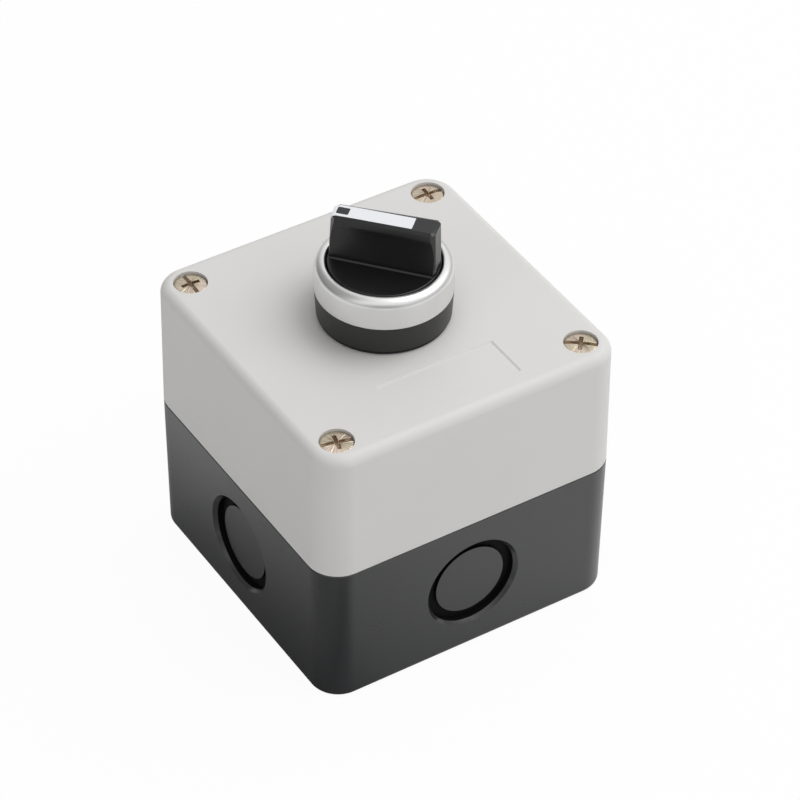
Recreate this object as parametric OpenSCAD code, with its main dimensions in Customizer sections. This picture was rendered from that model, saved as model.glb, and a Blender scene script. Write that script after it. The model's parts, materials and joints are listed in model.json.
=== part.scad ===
// Surface-mounted control station: a two-part moulded box with one rotary selector
// on its lid, and a make and a break contact block hanging from the selector inside.
// Millimetres. The origin is the centre of the box's underside and +Z is the axis
// on which the selector turns. The legend recess lies towards -Y, at the reader's side.

/* [Enclosure] */
// Width of the box across X, at the parting line
box_w = 72; // [66:1:100]
// Depth of the box across Y, at the parting line
box_d = 72; // [66:1:100]
// Height of the base, from its underside to the parting line
base_h = 35; // [32:1:60]
// Height of the lid above the parting line
lid_h = 31; // [29:1:45]
// Radius of the four upright corners
corner_r = 7; // [5.5:0.5:8.5]
// Wall thickness of base and lid
wall_t = 3; // [2.7:0.1:3.6]
// Thickness of the base's floor
floor_t = 3; // [2:0.25:4.5]
// Thickness of the lid's roof
roof_t = 3; // [2.5:0.25:4]
// How far the base's walls lean in at the underside
base_draft = 0.4; // [0.1:0.1:0.6]
// How far the lid's walls lean in at the top
lid_draft = 0.25; // [0.05:0.05:0.6]
// Radius of the lid's top edge
lid_edge_r = 2.4; // [1:0.1:2.6]
// Radius of the base's bottom edge
base_edge_r = 1.4; // [0.5:0.1:2.5]
// Bevel round the base's rim, which shows as a dark line at the parting
rim_bevel = 0.4; // [0.2:0.05:0.6]

/* [Rim seal] */
// Thickness of the tongue that stands on the base's rim
tongue_t = 1; // [0.8:0.05:1.3]
// Height of the tongue above the rim
tongue_h = 1.4; // [1:0.1:2]
// Gap between the tongue and each side of the lid's groove
tongue_gap = 0.3; // [0.2:0.05:0.4]
// Height of the gasket in the groove, pressed by the tongue
gasket_h = 1; // [0.6:0.1:1.5]

/* [Lid screws] */
// Distance of each lid screw from the two walls of its corner
screw_inset = 6.7; // [6.4:0.1:7.5]
// Diameter of the screw's shank
screw_d = 3.9; // [3.4:0.1:4.2]
// Length of the screw under its head
screw_len = 42; // [38:1:46]
// Diameter of the screw's head
screw_head_d = 7; // [6.4:0.1:7.4]
// Height of the screw's head
screw_head_h = 2.4; // [1.8:0.1:3]
// How far the head lies below the lid's surface
screw_sink = 0.3; // [0.1:0.05:0.6]
// Radius of the posts that hold the screws
post_r = 4.7; // [4.3:0.1:5.1]
// Space in the bore of each base post under the screw's tip
post_bore_space = 2.3; // [1:0.1:4]
// Thickness of the ring that keeps each screw in the lid
retainer_t = 1.2; // [0.8:0.1:1.5]
// Outer diameter of that ring
retainer_d = 6.9; // [6:0.1:7.2]

/* [Legend recess] */
// Width of the shallow recess for a stick-on legend
legend_w = 28; // [20:1:36]
// Depth of the recess across Y
legend_l = 11; // [8:0.5:12]
// How deep the recess is sunk into the lid
legend_sink = 0.25; // [0.1:0.05:0.5]
// Distance of the recess from the lid's edge
legend_margin = 5.6; // [3:0.1:6]

/* [Cable knockouts] */
// Height of the knockouts' centres above the underside
knockout_z = 17.7; // [16.5:0.1:20]
// Diameter of the large knockout
knockout_d = 21; // [20:0.1:22]
// Width of the bevelled rim round it
knockout_rim_w = 0.7; // [0.4:0.05:1.2]
// Depth of the bevelled rim
knockout_rim_depth = 0.9; // [0.5:0.05:1.2]
// Width of the groove between the large knockout's edge and the small one's disc
knockout_groove_w = 2.2; // [1.6:0.1:3]
// How far the disc lies below the wall's face
knockout_disc_depth = 1.4; // [0.8:0.05:1.6]
// Thickness of the web that is left behind the groove
knockout_web_t = 0.6; // [0.5:0.05:0.8]

/* [Fixing holes] */
// Distance of the fixing holes from the box's sides along X
fixing_inset_x = 16; // [15:0.5:19]
// Distance of the fixing holes from the box's sides along Y
fixing_inset_y = 9; // [8.5:0.5:14]
// Diameter of the fixing holes
fixing_d = 4.5; // [3.5:0.1:5.2]
// Diameter of the pad round each hole
fixing_pad_d = 8.4; // [7:0.1:8.8]
// Height of that pad above the floor
fixing_pad_h = 1.5; // [0.5:0.1:3]

/* [Selector body] */
// Wall of the threaded barrel round the stop lug's pocket
barrel_wall = 1.8; // [1.6:0.1:2.3]
// Thickness of the rubber seal on the lid
seal_t = 1; // [0.6:0.1:2]
// How far the seal's edge lies inside the collar's foot
seal_inset = 0.25; // [0.1:0.05:0.6]
// Height of the black collar over the seal
collar_h = 6; // [4:0.5:9]
// How far the collar draws in towards its foot
collar_draft = 0.35; // [0.1:0.05:0.7]
// Diameter of the metal bezel and of the collar's top
bezel_d = 29; // [29:0.1:31]
// Height of the bezel
bezel_h = 7; // [6.5:0.25:9]
// Height of the bezel's inward lip
bezel_lip_h = 2.1; // [1.6:0.1:2.4]
// Radius that rounds the lip into the opening
bezel_lip_r = 0.4; // [0.2:0.05:0.4]
// Width of the flat top between that radius and the bezel's large shoulder
bezel_flat_w = 0.05; // [0.05:0.05:0.4]
// Wall thickness of the bezel's skirt
bezel_skirt_t = 1.5; // [1.2:0.05:1.6]
// Wall thickness of the body's spigot inside the skirt
spigot_t = 0.75; // [0.6:0.05:1]
// Thickness of the walls beside the hollows under the collar and the knob
coring_wall = 1.5; // [1.2:0.05:1.8]
// Width of the key that stops the body from turning in the lid
key_w = 3; // [2:0.1:4]
// How far the key stands out of the barrel
key_reach = 1.4; // [0.8:0.1:1.8]
// Thickness of the locating washer under the lid
washer_t = 0.8; // [0.5:0.1:1.5]
// Width of the washer's rim outside the key
washer_rim_w = 1.65; // [1:0.05:2.5]
// Wall of the fixing nut beside the barrel, at its flats
nut_wall = 2.5; // [1.8:0.1:3.5]
// Thickness of the fixing nut
nut_t = 5; // [3:0.5:7]
// Space between the nut and the mounting collar
nut_space = 2.2; // [1:0.1:4]

/* [Selector knob] */
// Direction in which the marked end of the handle points at rest, from +X
pointer_angle = 132; // [120:1:140]
// Angle through which the selector turns, clockwise from rest
turn_angle = 90; // [60:1:90]
// Thickness of the knob's disc
knob_disc_h = 5; // [4.4:0.1:5.4]
// How far the top of the disc lies below the bezel's top
knob_sink = 0.7; // [0.4:0.1:1.4]
// Radius of the disc's top edge
knob_edge_r = 0.3; // [0.2:0.05:0.6]
// Height of the handle above the bezel's top
handle_rise = 10.5; // [7:0.5:14]
// Width of the handle at the axis, under its bevelled top
handle_w = 5.35; // [5:0.05:5.8]
// Angle at which each side of the handle draws in towards the marked end
handle_taper = 1.45; // [0.5:0.05:2.5]
// Distance of the handle's foot from the disc's edge
handle_margin = 0.2; // [0.1:0.05:0.5]
// How far the marked end leans in from foot to top
pointer_lean = 0.7; // [0.3:0.1:1.2]
// How far the plain end leans in from foot to top
tail_lean = 0.3; // [0.1:0.1:0.8]
// Depth of the finger hollow in each side of the handle
handle_hollow = 0.4; // [0.2:0.05:0.6]
// Radius of the finger hollow
handle_hollow_r = 22; // [18:1:26]
// Width of the bevel round the handle's top
handle_bevel_w = 0.7; // [0.4:0.05:0.9]
// Height of the bevel round the handle's top
handle_bevel_h = 0.4; // [0.2:0.05:0.6]
// Length that the bevel down each corner takes off the end and the side
handle_corner = 0.9; // [0.5:0.05:1.2]
// Bevel between the handle's foot and the disc
handle_foot_bevel = 0.3; // [0.1:0.05:0.5]
// Width of the white marker
marker_w = 3.6; // [3:0.1:3.8]
// Thickness of the marker
marker_t = 1; // [0.6:0.1:1.6]
// Share of the handle's top that the marker covers
marker_share = 0.77; // [0.5:0.01:0.85]
// Length of the peg that shows through the marker
peg_l = 2.5; // [1.8:0.1:2.8]
// Width of that peg
peg_w = 2.1; // [1.6:0.1:2.6]
// Distance of the peg from the end of the handle
peg_margin = 0.9; // [0.5:0.05:1.2]
// Corner radius of the peg
peg_r = 0.3; // [0.2:0.05:0.6]

/* [Selector spindle] */
// Diameter of the spindle
spindle_d = 10; // [9.6:0.1:10.6]
// Diameter of the spindle's head inside the knob
spindle_head_d = 7; // [6.4:0.1:8]
// Height of the spindle's head
spindle_head_h = 3; // [2:0.1:3.2]
// Thickness of the flat tang inside the handle
tang_t = 2.4; // [1.8:0.1:2.6]
// Width of the tang
tang_w = 6; // [4:0.5:6.3]
// Height of the tang above the spindle's head
tang_h = 6.5; // [4:0.5:8]
// Diameter of the drum that holds the detent
drum_d = 13.2; // [12.8:0.1:13.6]
// Height of the drum
drum_h = 6; // [4.5:0.5:6.5]
// Diameter of the detent balls
ball_d = 2.6; // [2:0.1:2.8]
// Wire diameter of the detent spring
detent_wire_d = 0.35; // [0.25:0.05:0.4]
// Turns of the detent spring
detent_turns = 8; // [5:1:9]
// Cross-section of the spindle's seal ring
o_ring_d = 1.2; // [1:0.05:1.4]
// Thickness of the cam's flange
cam_flange_t = 1.4; // [1:0.1:2]
// Lift of the cam over the whole turn
cam_lift = 3; // [2:0.1:3.2]
// Half of the angle that the stop lug fills
lug_half_angle = 10; // [6:1:14]
// How far the stop lug stands out of the cam's chamber
lug_reach = 1; // [0.7:0.1:1.2]

/* [Mounting collar] */
// Thickness of the mounting collar
clamp_h = 8; // [7:0.5:10]
// Wall of the mounting collar beside the barrel
clamp_wall = 4; // [3.5:0.1:5]
// Corner radius of the mounting collar
clamp_corner_r = 3; // [1.5:0.5:4]
// Height of the ledge that the snap hooks grip
ledge_h = 4; // [3:0.25:4.5]
// Depth of the ledge
ledge_depth = 1.3; // [1:0.1:1.5]
// Diameter of the locking screw's shank
lock_screw_d = 3.1; // [2.6:0.1:3.5]
// Diameter of the locking screw's head
lock_head_d = 5.2; // [4.6:0.1:6]
// Height of the locking screw's head
lock_head_h = 1.8; // [1.2:0.1:2.4]

/* [Contact blocks] */
// Width of one contact block
block_w = 10; // [9.8:0.1:10.6]
// Height of a contact block
block_h = 24; // [23:0.5:26]
// Gap between the two blocks
block_gap = 0.4; // [0.3:0.05:0.8]
// Wall thickness of a block
block_wall = 1; // [0.8:0.05:1.3]
// Half length of the chamber in which the plunger moves
chamber_half = 8.4; // [8:0.1:8.8]
// Thickness of the wall between that chamber and a terminal
divider_t = 2.6; // [2.4:0.1:3]
// Height of a terminal chamber
terminal_h = 10; // [9.5:0.1:11]
// Thickness of the snap hooks
hook_t = 2; // [1.5:0.1:2.4]
// Width of the snap hooks
hook_w = 5; // [4:0.5:6]
// Height of a hook's barb
barb_h = 2.4; // [1.6:0.1:2.8]
// How far a barb reaches over the ledge
barb_reach = 1; // [0.6:0.1:1.1]
// Height of a plunger's rounded head above its block
pusher_rise = 5; // [4.6:0.1:5.4]
// Width of a plunger's stem
pusher_w = 3; // [2.6:0.1:3.4]
// Width of the plunger's body inside the block, across X
carrier_w = 6; // [5.4:0.1:6.6]
// Length of the plunger's body inside the block, along Y
carrier_l = 5; // [4.4:0.1:5.6]
// Height of the return spring at rest, under the plunger's body
spring_h = 10; // [9:0.1:10.6]
// Diameter of the pins that centre the return spring
spring_pin_d = 2.2; // [1.8:0.1:2.5]
// Length of those pins
spring_pin_h = 1.8; // [1.2:0.1:2.4]
// Wire diameter of the return spring
spring_wire_d = 0.5; // [0.4:0.05:0.6]
// Outer diameter of the return spring
spring_d = 4.1; // [3.9:0.1:4.6]
// Turns of the return spring
spring_turns = 7; // [5:1:9]

/* [Contacts and terminals] */
// Thickness of the brass strips
strip_t = 0.8; // [0.6:0.05:1]
// Width of the fixed strips
strip_w = 5; // [4:0.1:5.6]
// Width of the moving bridge
bridge_w = 4; // [3.4:0.1:4.4]
// Length of the moving bridge
bridge_l = 13.4; // [12.8:0.1:14.4]
// Diameter of the contact tips
tip_d = 2.2; // [1.8:0.1:2.4]
// Height of the contact tips
tip_h = 0.5; // [0.3:0.05:0.6]
// Distance of the tips from the plunger's axis
tip_y = 5.3; // [5:0.1:5.5]
// Height of the make block's fixed strip above its floor
make_strip_z = 10.7; // [10.2:0.1:11.2]
// Height of the break block's fixed strip above its floor
break_strip_z = 16; // [15.6:0.1:16.4]
// Height of the terminal strips above the block's floor
terminal_strip_z = 6.6; // [6.2:0.1:7.4]
// Space in a terminal chamber between its wire entry and the clamp plate's gap
terminal_space = 0.4; // [0.2:0.1:2]
// Diameter of the terminal screws
terminal_screw_d = 3.4; // [2.8:0.1:3.8]
// Diameter of the terminal screws' heads
terminal_head_d = 5.8; // [5.2:0.1:6]
// Height of the terminal screws' heads
terminal_head_h = 2.2; // [1.6:0.1:2.6]
// Side of the square clamp plates
clamp_plate_side = 6; // [5.4:0.1:6.4]
// Thickness of the clamp plates
clamp_plate_t = 1; // [0.7:0.05:1.2]
// Space for the wire between plate and strip
wire_space = 1.6; // [1.2:0.1:2]
// Width of the wire entries
entry_w = 4.4; // [3.4:0.1:5]

/* [Clearances] */
// Radial gap of a shaft, screw or ring in its bore
fit_gap = 0.05; // [0.03:0.01:0.08]
// Gap round pieces that drop into a pocket
pocket_gap = 0.15; // [0.1:0.05:0.2]
// Gap between pieces that move past each other
run_gap = 0.3; // [0.2:0.05:0.4]
// Gap between closed contact tips, and between cam and plunger beyond its slope
touch_gap = 0.05; // [0.03:0.01:0.1]
// Angle left beyond each end of the selector's travel
stop_gap_angle = 1; // [0.5:0.5:2]

/* [Hidden] */
$fn = 72;
overrun = 1;

// Names of the pieces

// Plan of the box
core_w = box_w - 2 * corner_r;
core_d = box_d - 2 * corner_r;
screw_x = box_w / 2 - screw_inset;
screw_y = box_d / 2 - screw_inset;
fixing_x = box_w / 2 - fixing_inset_x;
fixing_y = box_d / 2 - fixing_inset_y;
quadrant_x = [1, -1, -1, 1];
quadrant_y = [1, 1, -1, -1];

// Rim seal
groove_half = tongue_t / 2 + tongue_gap;
groove_depth = tongue_h + gasket_h;
gasket_half = groove_half - pocket_gap / 2;

// Levels of the lid and the selector, from the underside up
lid_top = base_h + lid_h;
roof_under = lid_top - roof_t;
seal_top = lid_top + seal_t;
collar_top = seal_top + collar_h;
bezel_top = collar_top + bezel_h;
knob_rim = bezel_top - knob_sink;
knob_bottom = knob_rim - knob_disc_h;
knob_seat = knob_bottom - run_gap;
handle_top = bezel_top + handle_rise;
handle_bottom = knob_rim - knob_disc_h / 2;
washer_bottom = roof_under - washer_t;
nut_bottom = washer_bottom - nut_t;
clamp_top = nut_bottom - nut_space;
barrel_end = clamp_top - clamp_h;

// Screws in the lid
head_seat = lid_top - screw_sink - screw_head_h;
post_bore_depth = base_h - head_seat + screw_len + post_bore_space;
cross_arm_share = 0.6;
cross_width_share = 0.15;
cross_depth_share = 0.6;
slot_depth_share = 0.4;
screw_point_share = 0.5;
// Angles of the screws' slots, counted round the lid from its +X +Y corner
slot_turns = [-3, -91, -14, -39];

// Selector body
bezel_r = bezel_d / 2;
bezel_bore_r = bezel_r - bezel_skirt_t;
spigot_r = bezel_bore_r - pocket_gap;
spigot_bore_r = spigot_r - spigot_t;
spigot_top = bezel_top - bezel_lip_h - pocket_gap;
collar_foot_r = bezel_r - collar_draft;
seal_r = collar_foot_r - seal_inset;
block_x = (block_w + block_gap) / 2;
cam_inner_r = block_x - pusher_w / 2 - run_gap;
cam_outer_r = block_x + pusher_w / 2 + 2 * run_gap;
cam_flange_r = cam_outer_r + run_gap;
cam_chamber_r = cam_flange_r + run_gap;
lug_r = cam_chamber_r + lug_reach;
lug_pocket_r = lug_r + run_gap;
barrel_r = lug_pocket_r + barrel_wall;
panel_hole_r = barrel_r + pocket_gap;
key_pocket_r = barrel_r + key_reach + pocket_gap;
washer_r = key_pocket_r + washer_rim_w;
drum_chamber_r = drum_d / 2 + run_gap;
coring_inner_r = spindle_d / 2 + 2 * pocket_gap + coring_wall;
coring_outer_r = barrel_r - coring_wall;

// Knob in the body's spigot, and the ends of its handle
knob_r = spigot_bore_r - run_gap;
handle_foot_r = knob_r - handle_margin;
pointer_reach = handle_foot_r - pointer_lean;
tail_reach = handle_foot_r - tail_lean;

// Levels of the cam, worked out from the plunger that it presses
cam_slope = cam_lift / (PI * (block_x - pusher_w / 2) * turn_angle / 180);
pusher_slope_gap = pusher_w / 2 * (sqrt(1 + cam_slope * cam_slope) - 1);
cam_face = barrel_end + pusher_rise + pusher_slope_gap + touch_gap;
cam_top = cam_face + cam_flange_t;
cam_ceiling = cam_top + run_gap;
drum_top = cam_top + drum_h;
drum_ceiling = drum_top + run_gap;
cam_dwell_angle = 30;
cam_lead_angle = 3;
cam_step_angle = 7.5;
lug_rest_angle = 270;

// Detent, across the drum
ball_r = ball_d / 2;
ball_x = drum_chamber_r - pocket_gap - ball_r;
detent_z = cam_top + drum_h / 2;
detent_spring_r = ball_r - detent_wire_d;
detent_notch_r = drum_chamber_r + 2 * run_gap;

// Seal ring on the spindle
o_ring_z = seal_top + collar_h / 2;
o_ring_mid_r = spindle_d / 2 - o_ring_d / 2;
o_groove_r = o_ring_mid_r - o_ring_d / 2 - fit_gap;
o_groove_h = o_ring_d + 2 * pocket_gap;

// Mounting collar
clamp_half = barrel_r + clamp_wall;
ledge_z = barrel_end + ledge_h;
lock_screw_z = barrel_end + clamp_h / 2;

// Contact blocks, in their own frame with z = 0 at the top face
block_floor = -block_h + block_wall;
cavity_half = block_w / 2 - block_wall;
hook_inner = clamp_half + run_gap;
terminal_half = max(clamp_plate_side, terminal_head_d) / 2 + run_gap;
terminal_inner = chamber_half + divider_t;
terminal_y = terminal_inner + terminal_half;
terminal_outer = terminal_y + terminal_half + terminal_space;
block_l = 2 * (terminal_outer + block_wall);
carrier_top = -block_wall - run_gap;
carrier_bottom = block_floor + spring_h;
carrier_h = carrier_top - carrier_bottom;
riser_y = chamber_half + divider_t / 2 - strip_t / 2;
strip_inner = carrier_l / 2 + 3 * run_gap;
make_fixed_z = block_floor + make_strip_z;
break_fixed_z = block_floor + break_strip_z;
terminal_strip = block_floor + terminal_strip_z;
make_bridge_z = make_fixed_z + strip_t + 2 * tip_h + cam_lift + touch_gap;
break_bridge_z = break_fixed_z - strip_t - 2 * tip_h - touch_gap;
plate_top = terminal_strip - wire_space;
terminal_head_top = plate_top - clamp_plate_t;
access_r = terminal_head_d / 2 + run_gap;
spring_mid_r = spring_d / 2 - spring_wire_d / 2;
cover_peg_r = block_wall;
cover_peg_h = 3 * block_wall;
cover_peg_y = (terminal_inner + terminal_outer) / 2;
cover_peg_z = -(block_h - block_wall - terminal_h) / 2;

// Least gaps between the turns of the two kinds of spring, printed with the model
wire_sides = 6;
rings_per_turn = 8;
return_spring_gap = (spring_h - spring_wire_d) / spring_turns - spring_wire_d;
detent_spring_len = 2 * (ball_x - ball_r) - 2 * fit_gap;
detent_spring_gap = (detent_spring_len - detent_wire_d) / detent_turns - detent_wire_d;
echo(return_spring_gap = return_spring_gap, detent_spring_gap = detent_spring_gap);

// Quarter of a disc in the first quadrant, or the slice between two angles
module pie(r, from_a = 0, to_a = 90) {
    intersection() {
        circle(r);
        polygon([
            [0, 0],
            2 * r * [cos(from_a), sin(from_a)],
            2 * r * [cos(to_a), sin(to_a)]
        ]);
    }
}

// Rectangle with round corners, centred
module round_rect(w, d, r) {
    square([w, d - 2 * r], center = true);
    square([w - 2 * r, d], center = true);
    for (q = [0 : 3])
        translate([quadrant_x[q] * (w / 2 - r), quadrant_y[q] * (d / 2 - r)])
            rotate(90 * q)
                pie(r);
}

// Plan of the box, drawn in by a distance from its widest outline
module box_plan(inset) {
    round_rect(box_w - 2 * inset, box_d - 2 * inset, corner_r - inset);
}

// Block with round upright corners. Its children are the profile of one side,
// with x measured outwards from the corner's centre line.
module swept_box(z_low, z_high) {
    for (q = [0 : 3]) {
        along = q % 2 == 0 ? core_d : core_w;
        out = q % 2 == 0 ? core_w : core_d;
        translate([quadrant_x[q] * core_w / 2, quadrant_y[q] * core_d / 2, 0])
            rotate(90 * q)
                rotate_extrude(angle = 90)
                    children();
        rotate(90 * q)
            translate([out / 2, 0, 0])
                rotate([90, 0, 0])
                    linear_extrude(along, center = true)
                        children();
    }
    translate([-core_w / 2, -core_d / 2, z_low])
        cube([core_w, core_d, z_high - z_low]);
}

// One copy of the children at each lid screw
module at_screws() {
    for (sx = [-1, 1], sy = [-1, 1])
        translate([sx * screw_x, sy * screw_y, 0])
            children();
}

// Inside of the box in plan, less the four screw posts
module cavity_plan() {
    difference() {
        box_plan(wall_t);
        at_screws()
            circle(post_r);
    }
}

// Ring that follows the middle of the rim, with the given half width
module rim_plan(half) {
    difference() {
        box_plan(wall_t / 2 - half);
        box_plan(wall_t / 2 + half);
    }
}

// Solid made by joining rings of points, one after another
module ring_sweep(rings) {
    n = len(rings[0]);
    m = len(rings);
    points = [for (ring = rings) each ring];
    sides = [
        for (i = [0 : m - 2], j = [0 : n - 1])
            each let (a = i * n + j, b = i * n + (j + 1) % n)
                [[a, b + n, b], [a, a + n, b + n]]
    ];
    first_cap = [for (j = [1 : n - 2]) [0, j, j + 1]];
    last_cap = [for (j = [1 : n - 2]) (m - 1) * n * [1, 1, 1] + [0, j + 1, j]];
    polyhedron(points, concat(sides, first_cap, last_cap));
}

// Ring of wire round the point at angle a of a helix
function wire_ring(a, mid_r, wire_r, pitch) = [
    for (k = [0 : wire_sides - 1])
        let (t = -360 * k / wire_sides, r = mid_r + wire_r * cos(t))
            [r * cos(a), r * sin(a), pitch * a / 360 + wire_r * sin(t)]
];

// Coil spring that stands on z = 0 and is h tall
module coil_spring(mid_r, wire_d, h, turns) {
    pitch = (h - wire_d) / turns;
    translate([0, 0, wire_d / 2])
        ring_sweep([
            for (i = [0 : turns * rings_per_turn])
                wire_ring(360 * i / rings_per_turn, mid_r, wire_d / 2, pitch)
        ]);
}

// Screw head with a domed top, a slot right across it and a deeper cross, on z = 0
module cross_head(head_d, head_h) {
    arm = head_d * cross_arm_share;
    arm_w = head_d * cross_width_share;
    arm_depth = head_h * cross_depth_share;
    slot_depth = head_h * slot_depth_share;
    dome_r = 2 * head_d;
    difference() {
        rotate_extrude()
            intersection() {
                translate([0, head_h - dome_r])
                    circle(dome_r);
                square([head_d / 2, head_h]);
            }
        translate([-head_d, -arm_w / 2, head_h - slot_depth])
            cube([2 * head_d, arm_w, slot_depth + overrun]);
        for (a = [0, 90])
            rotate(a)
                translate([-arm / 2, -arm_w / 2, head_h - arm_depth])
                    cube([arm, arm_w, arm_depth + overrun]);
    }
}

// Drafted profile of the base's side
module base_profile() {
    lean = atan(base_draft / base_h);
    foot = corner_r - base_draft;
    mid = [foot + base_edge_r * (tan(lean) - 1 / cos(lean)), base_edge_r];
    touch = mid + base_edge_r * [cos(lean), -sin(lean)];
    polygon([
        [0, 0], [mid[0], 0], mid, touch,
        [corner_r - rim_bevel * tan(lean), base_h - rim_bevel],
        [corner_r - rim_bevel, base_h], [0, base_h]
    ]);
    translate(mid)
        pie(base_edge_r, -90, -lean);
}

// Drafted profile of the lid's side
module lid_profile() {
    lean = atan(lid_draft / lid_h);
    mid_z = lid_top - lid_edge_r;
    wall_x = corner_r - (mid_z - base_h) * tan(lean);
    mid = [wall_x - lid_edge_r / cos(lean), mid_z];
    touch = mid + lid_edge_r * [cos(lean), sin(lean)];
    polygon([
        [0, base_h], [corner_r, base_h], touch, mid, [mid[0], lid_top], [0, lid_top]
    ]);
    translate(mid)
        pie(lid_edge_r, lean, 90);
}

// What is cut away for one cable knockout, with z = 0 on the wall's face
module knockout_cut(groove_depth) {
    edge_r = knockout_d / 2;
    rim_r = edge_r + knockout_rim_w;
    disc_r = edge_r - knockout_groove_w;
    rotate_extrude()
        polygon([
            [0, overrun], [rim_r, overrun], [rim_r, 0], [edge_r, -knockout_rim_depth],
            [edge_r, -groove_depth], [disc_r, -groove_depth],
            [disc_r, -knockout_disc_depth], [0, -knockout_disc_depth]
        ]);
}

// Lower shell, with cable knockouts in its four sides and fixing holes in its floor
module base_box() {
    face_inset = base_draft * (1 - knockout_z / base_h);
    groove = wall_t - face_inset - knockout_web_t;
    color("#57585b")
        difference() {
            union() {
                difference() {
                    swept_box(0, base_h)
                        base_profile();
                    translate([0, 0, floor_t])
                        linear_extrude(base_h)
                            cavity_plan();
                }
                translate([0, 0, base_h - overrun])
                    linear_extrude(tongue_h + overrun)
                        rim_plan(tongue_t / 2);
                for (sx = [-1, 1], sy = [-1, 1])
                    translate([sx * fixing_x, sy * fixing_y, floor_t / 2])
                        cylinder(h = floor_t / 2 + fixing_pad_h, d = fixing_pad_d);
            }
            for (q = [0 : 3])
                rotate(90 * q)
                    translate([(q % 2 == 0 ? box_w : box_d) / 2 - face_inset, 0, knockout_z])
                        rotate([0, 90, 0])
                            knockout_cut(groove);
            at_screws()
                translate([0, 0, base_h - post_bore_depth])
                    cylinder(h = post_bore_depth + overrun, r = screw_d / 2 + fit_gap);
            for (sx = [-1, 1], sy = [-1, 1])
                translate([sx * fixing_x, sy * fixing_y, -overrun])
                    cylinder(h = floor_t + fixing_pad_h + 2 * overrun, d = fixing_d);
        }
}

// Upper shell, with the selector's hole, screw tubes, seal groove and legend recess
module lid_cover() {
    color("#d3d3d0")
        difference() {
            swept_box(base_h, lid_top)
                lid_profile();
            translate([0, 0, base_h - overrun])
                linear_extrude(roof_under - base_h + overrun)
                    cavity_plan();
            translate([0, 0, base_h - overrun])
                linear_extrude(groove_depth + overrun)
                    rim_plan(groove_half);
            translate([0, 0, roof_under - overrun])
                cylinder(h = roof_t + 2 * overrun, r = panel_hole_r);
            translate([-key_w / 2 - pocket_gap, 0, roof_under - overrun])
                cube([
                    key_w + 2 * pocket_gap, key_pocket_r, roof_t + 2 * overrun
                ]);
            at_screws() {
                translate([0, 0, base_h - overrun])
                    cylinder(h = lid_h + 2 * overrun, r = screw_d / 2 + pocket_gap);
                translate([0, 0, head_seat])
                    cylinder(h = screw_head_h + overrun, r = screw_head_d / 2 + pocket_gap);
                translate([0, 0, base_h - overrun])
                    cylinder(
                        h = retainer_t + run_gap + overrun, r = retainer_d / 2 + fit_gap
                    );
            }
            translate([-legend_w / 2, -box_d / 2 + legend_margin, lid_top - legend_sink])
                cube([legend_w, legend_l, legend_sink + overrun]);
        }
}

// Soft gasket in the lid's groove
module lid_gasket() {
    color("#3a3a3a")
        translate([0, 0, base_h + tongue_h])
            linear_extrude(gasket_h)
                rim_plan(gasket_half);
}

// Four long screws that hold the lid
module lid_screws() {
    point_h = screw_d * screw_point_share;
    color("#d6c9bd")
        for (q = [0 : 3])
            translate([quadrant_x[q] * screw_x, quadrant_y[q] * screw_y, head_seat]) {
                rotate(slot_turns[q])
                    cross_head(screw_head_d, screw_head_h);
                translate([0, 0, point_h - screw_len])
                    cylinder(h = screw_len - point_h + screw_head_h / 4, d = screw_d);
                translate([0, 0, -screw_len])
                    cylinder(h = point_h, r1 = screw_d / 2 - point_h / 2, r2 = screw_d / 2);
            }
}

// Rings that keep the undone screws in the lid
module screw_retainers() {
    color("#e8e6df")
        at_screws()
            translate([0, 0, base_h + run_gap])
                difference() {
                    cylinder(h = retainer_t, d = retainer_d);
                    translate([0, 0, -overrun])
                        cylinder(h = retainer_t + 2 * overrun, r = screw_d / 2 + fit_gap);
                }
}

// Rubber seal between the lid and the selector's collar
module panel_seal() {
    color("#1c1c1c")
        translate([0, 0, lid_top])
            difference() {
                cylinder(h = seal_t, r = seal_r);
                translate([0, 0, -overrun])
                    cylinder(h = seal_t + 2 * overrun, r = barrel_r + fit_gap);
            }
}

// Sector of a ring, drawn from an angle through a sweep
module ring_sector(inner_r, outer_r, h, from_a, sweep_a) {
    rotate(from_a)
        rotate_extrude(angle = sweep_a)
            translate([inner_r, 0])
                square([outer_r - inner_r, h]);
}

// Selector's body: black collar above the lid, barrel with its chambers below it
module operator_body() {
    pocket_from = lug_rest_angle - turn_angle - lug_half_angle - stop_gap_angle;
    pocket_sweep = turn_angle + 2 * (lug_half_angle + stop_gap_angle);
    notch_mid_r = detent_notch_r - ball_r;
    color("#2d2d2b")
        difference() {
            union() {
                rotate_extrude()
                    polygon([
                        [cam_chamber_r, barrel_end], [barrel_r, barrel_end],
                        [barrel_r, seal_top], [collar_foot_r, seal_top],
                        [bezel_r, collar_top], [spigot_r, collar_top],
                        [spigot_r, spigot_top], [spigot_bore_r, spigot_top],
                        [spigot_bore_r, knob_seat], [coring_outer_r, knob_seat],
                        [coring_outer_r, lid_top], [coring_inner_r, lid_top],
                        [coring_inner_r, knob_seat],
                        [spindle_d / 2 + fit_gap, knob_seat],
                        [spindle_d / 2 + fit_gap, drum_ceiling],
                        [drum_chamber_r, drum_ceiling], [drum_chamber_r, cam_ceiling],
                        [cam_chamber_r, cam_ceiling]
                    ]);
                translate([-key_w / 2, coring_outer_r, washer_bottom])
                    cube([
                        key_w, barrel_r + key_reach - coring_outer_r,
                        lid_top - washer_bottom
                    ]);
            }
            translate([0, 0, barrel_end - overrun])
                ring_sector(
                    cam_inner_r, lug_pocket_r, cam_ceiling - barrel_end + overrun,
                    pocket_from, pocket_sweep
                );
            for (a = [0 : 90 : 270])
                rotate(a)
                    translate([notch_mid_r, 0, cam_ceiling - overrun])
                        cylinder(h = drum_ceiling - cam_ceiling + overrun, r = ball_r);
        }
}

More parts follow.
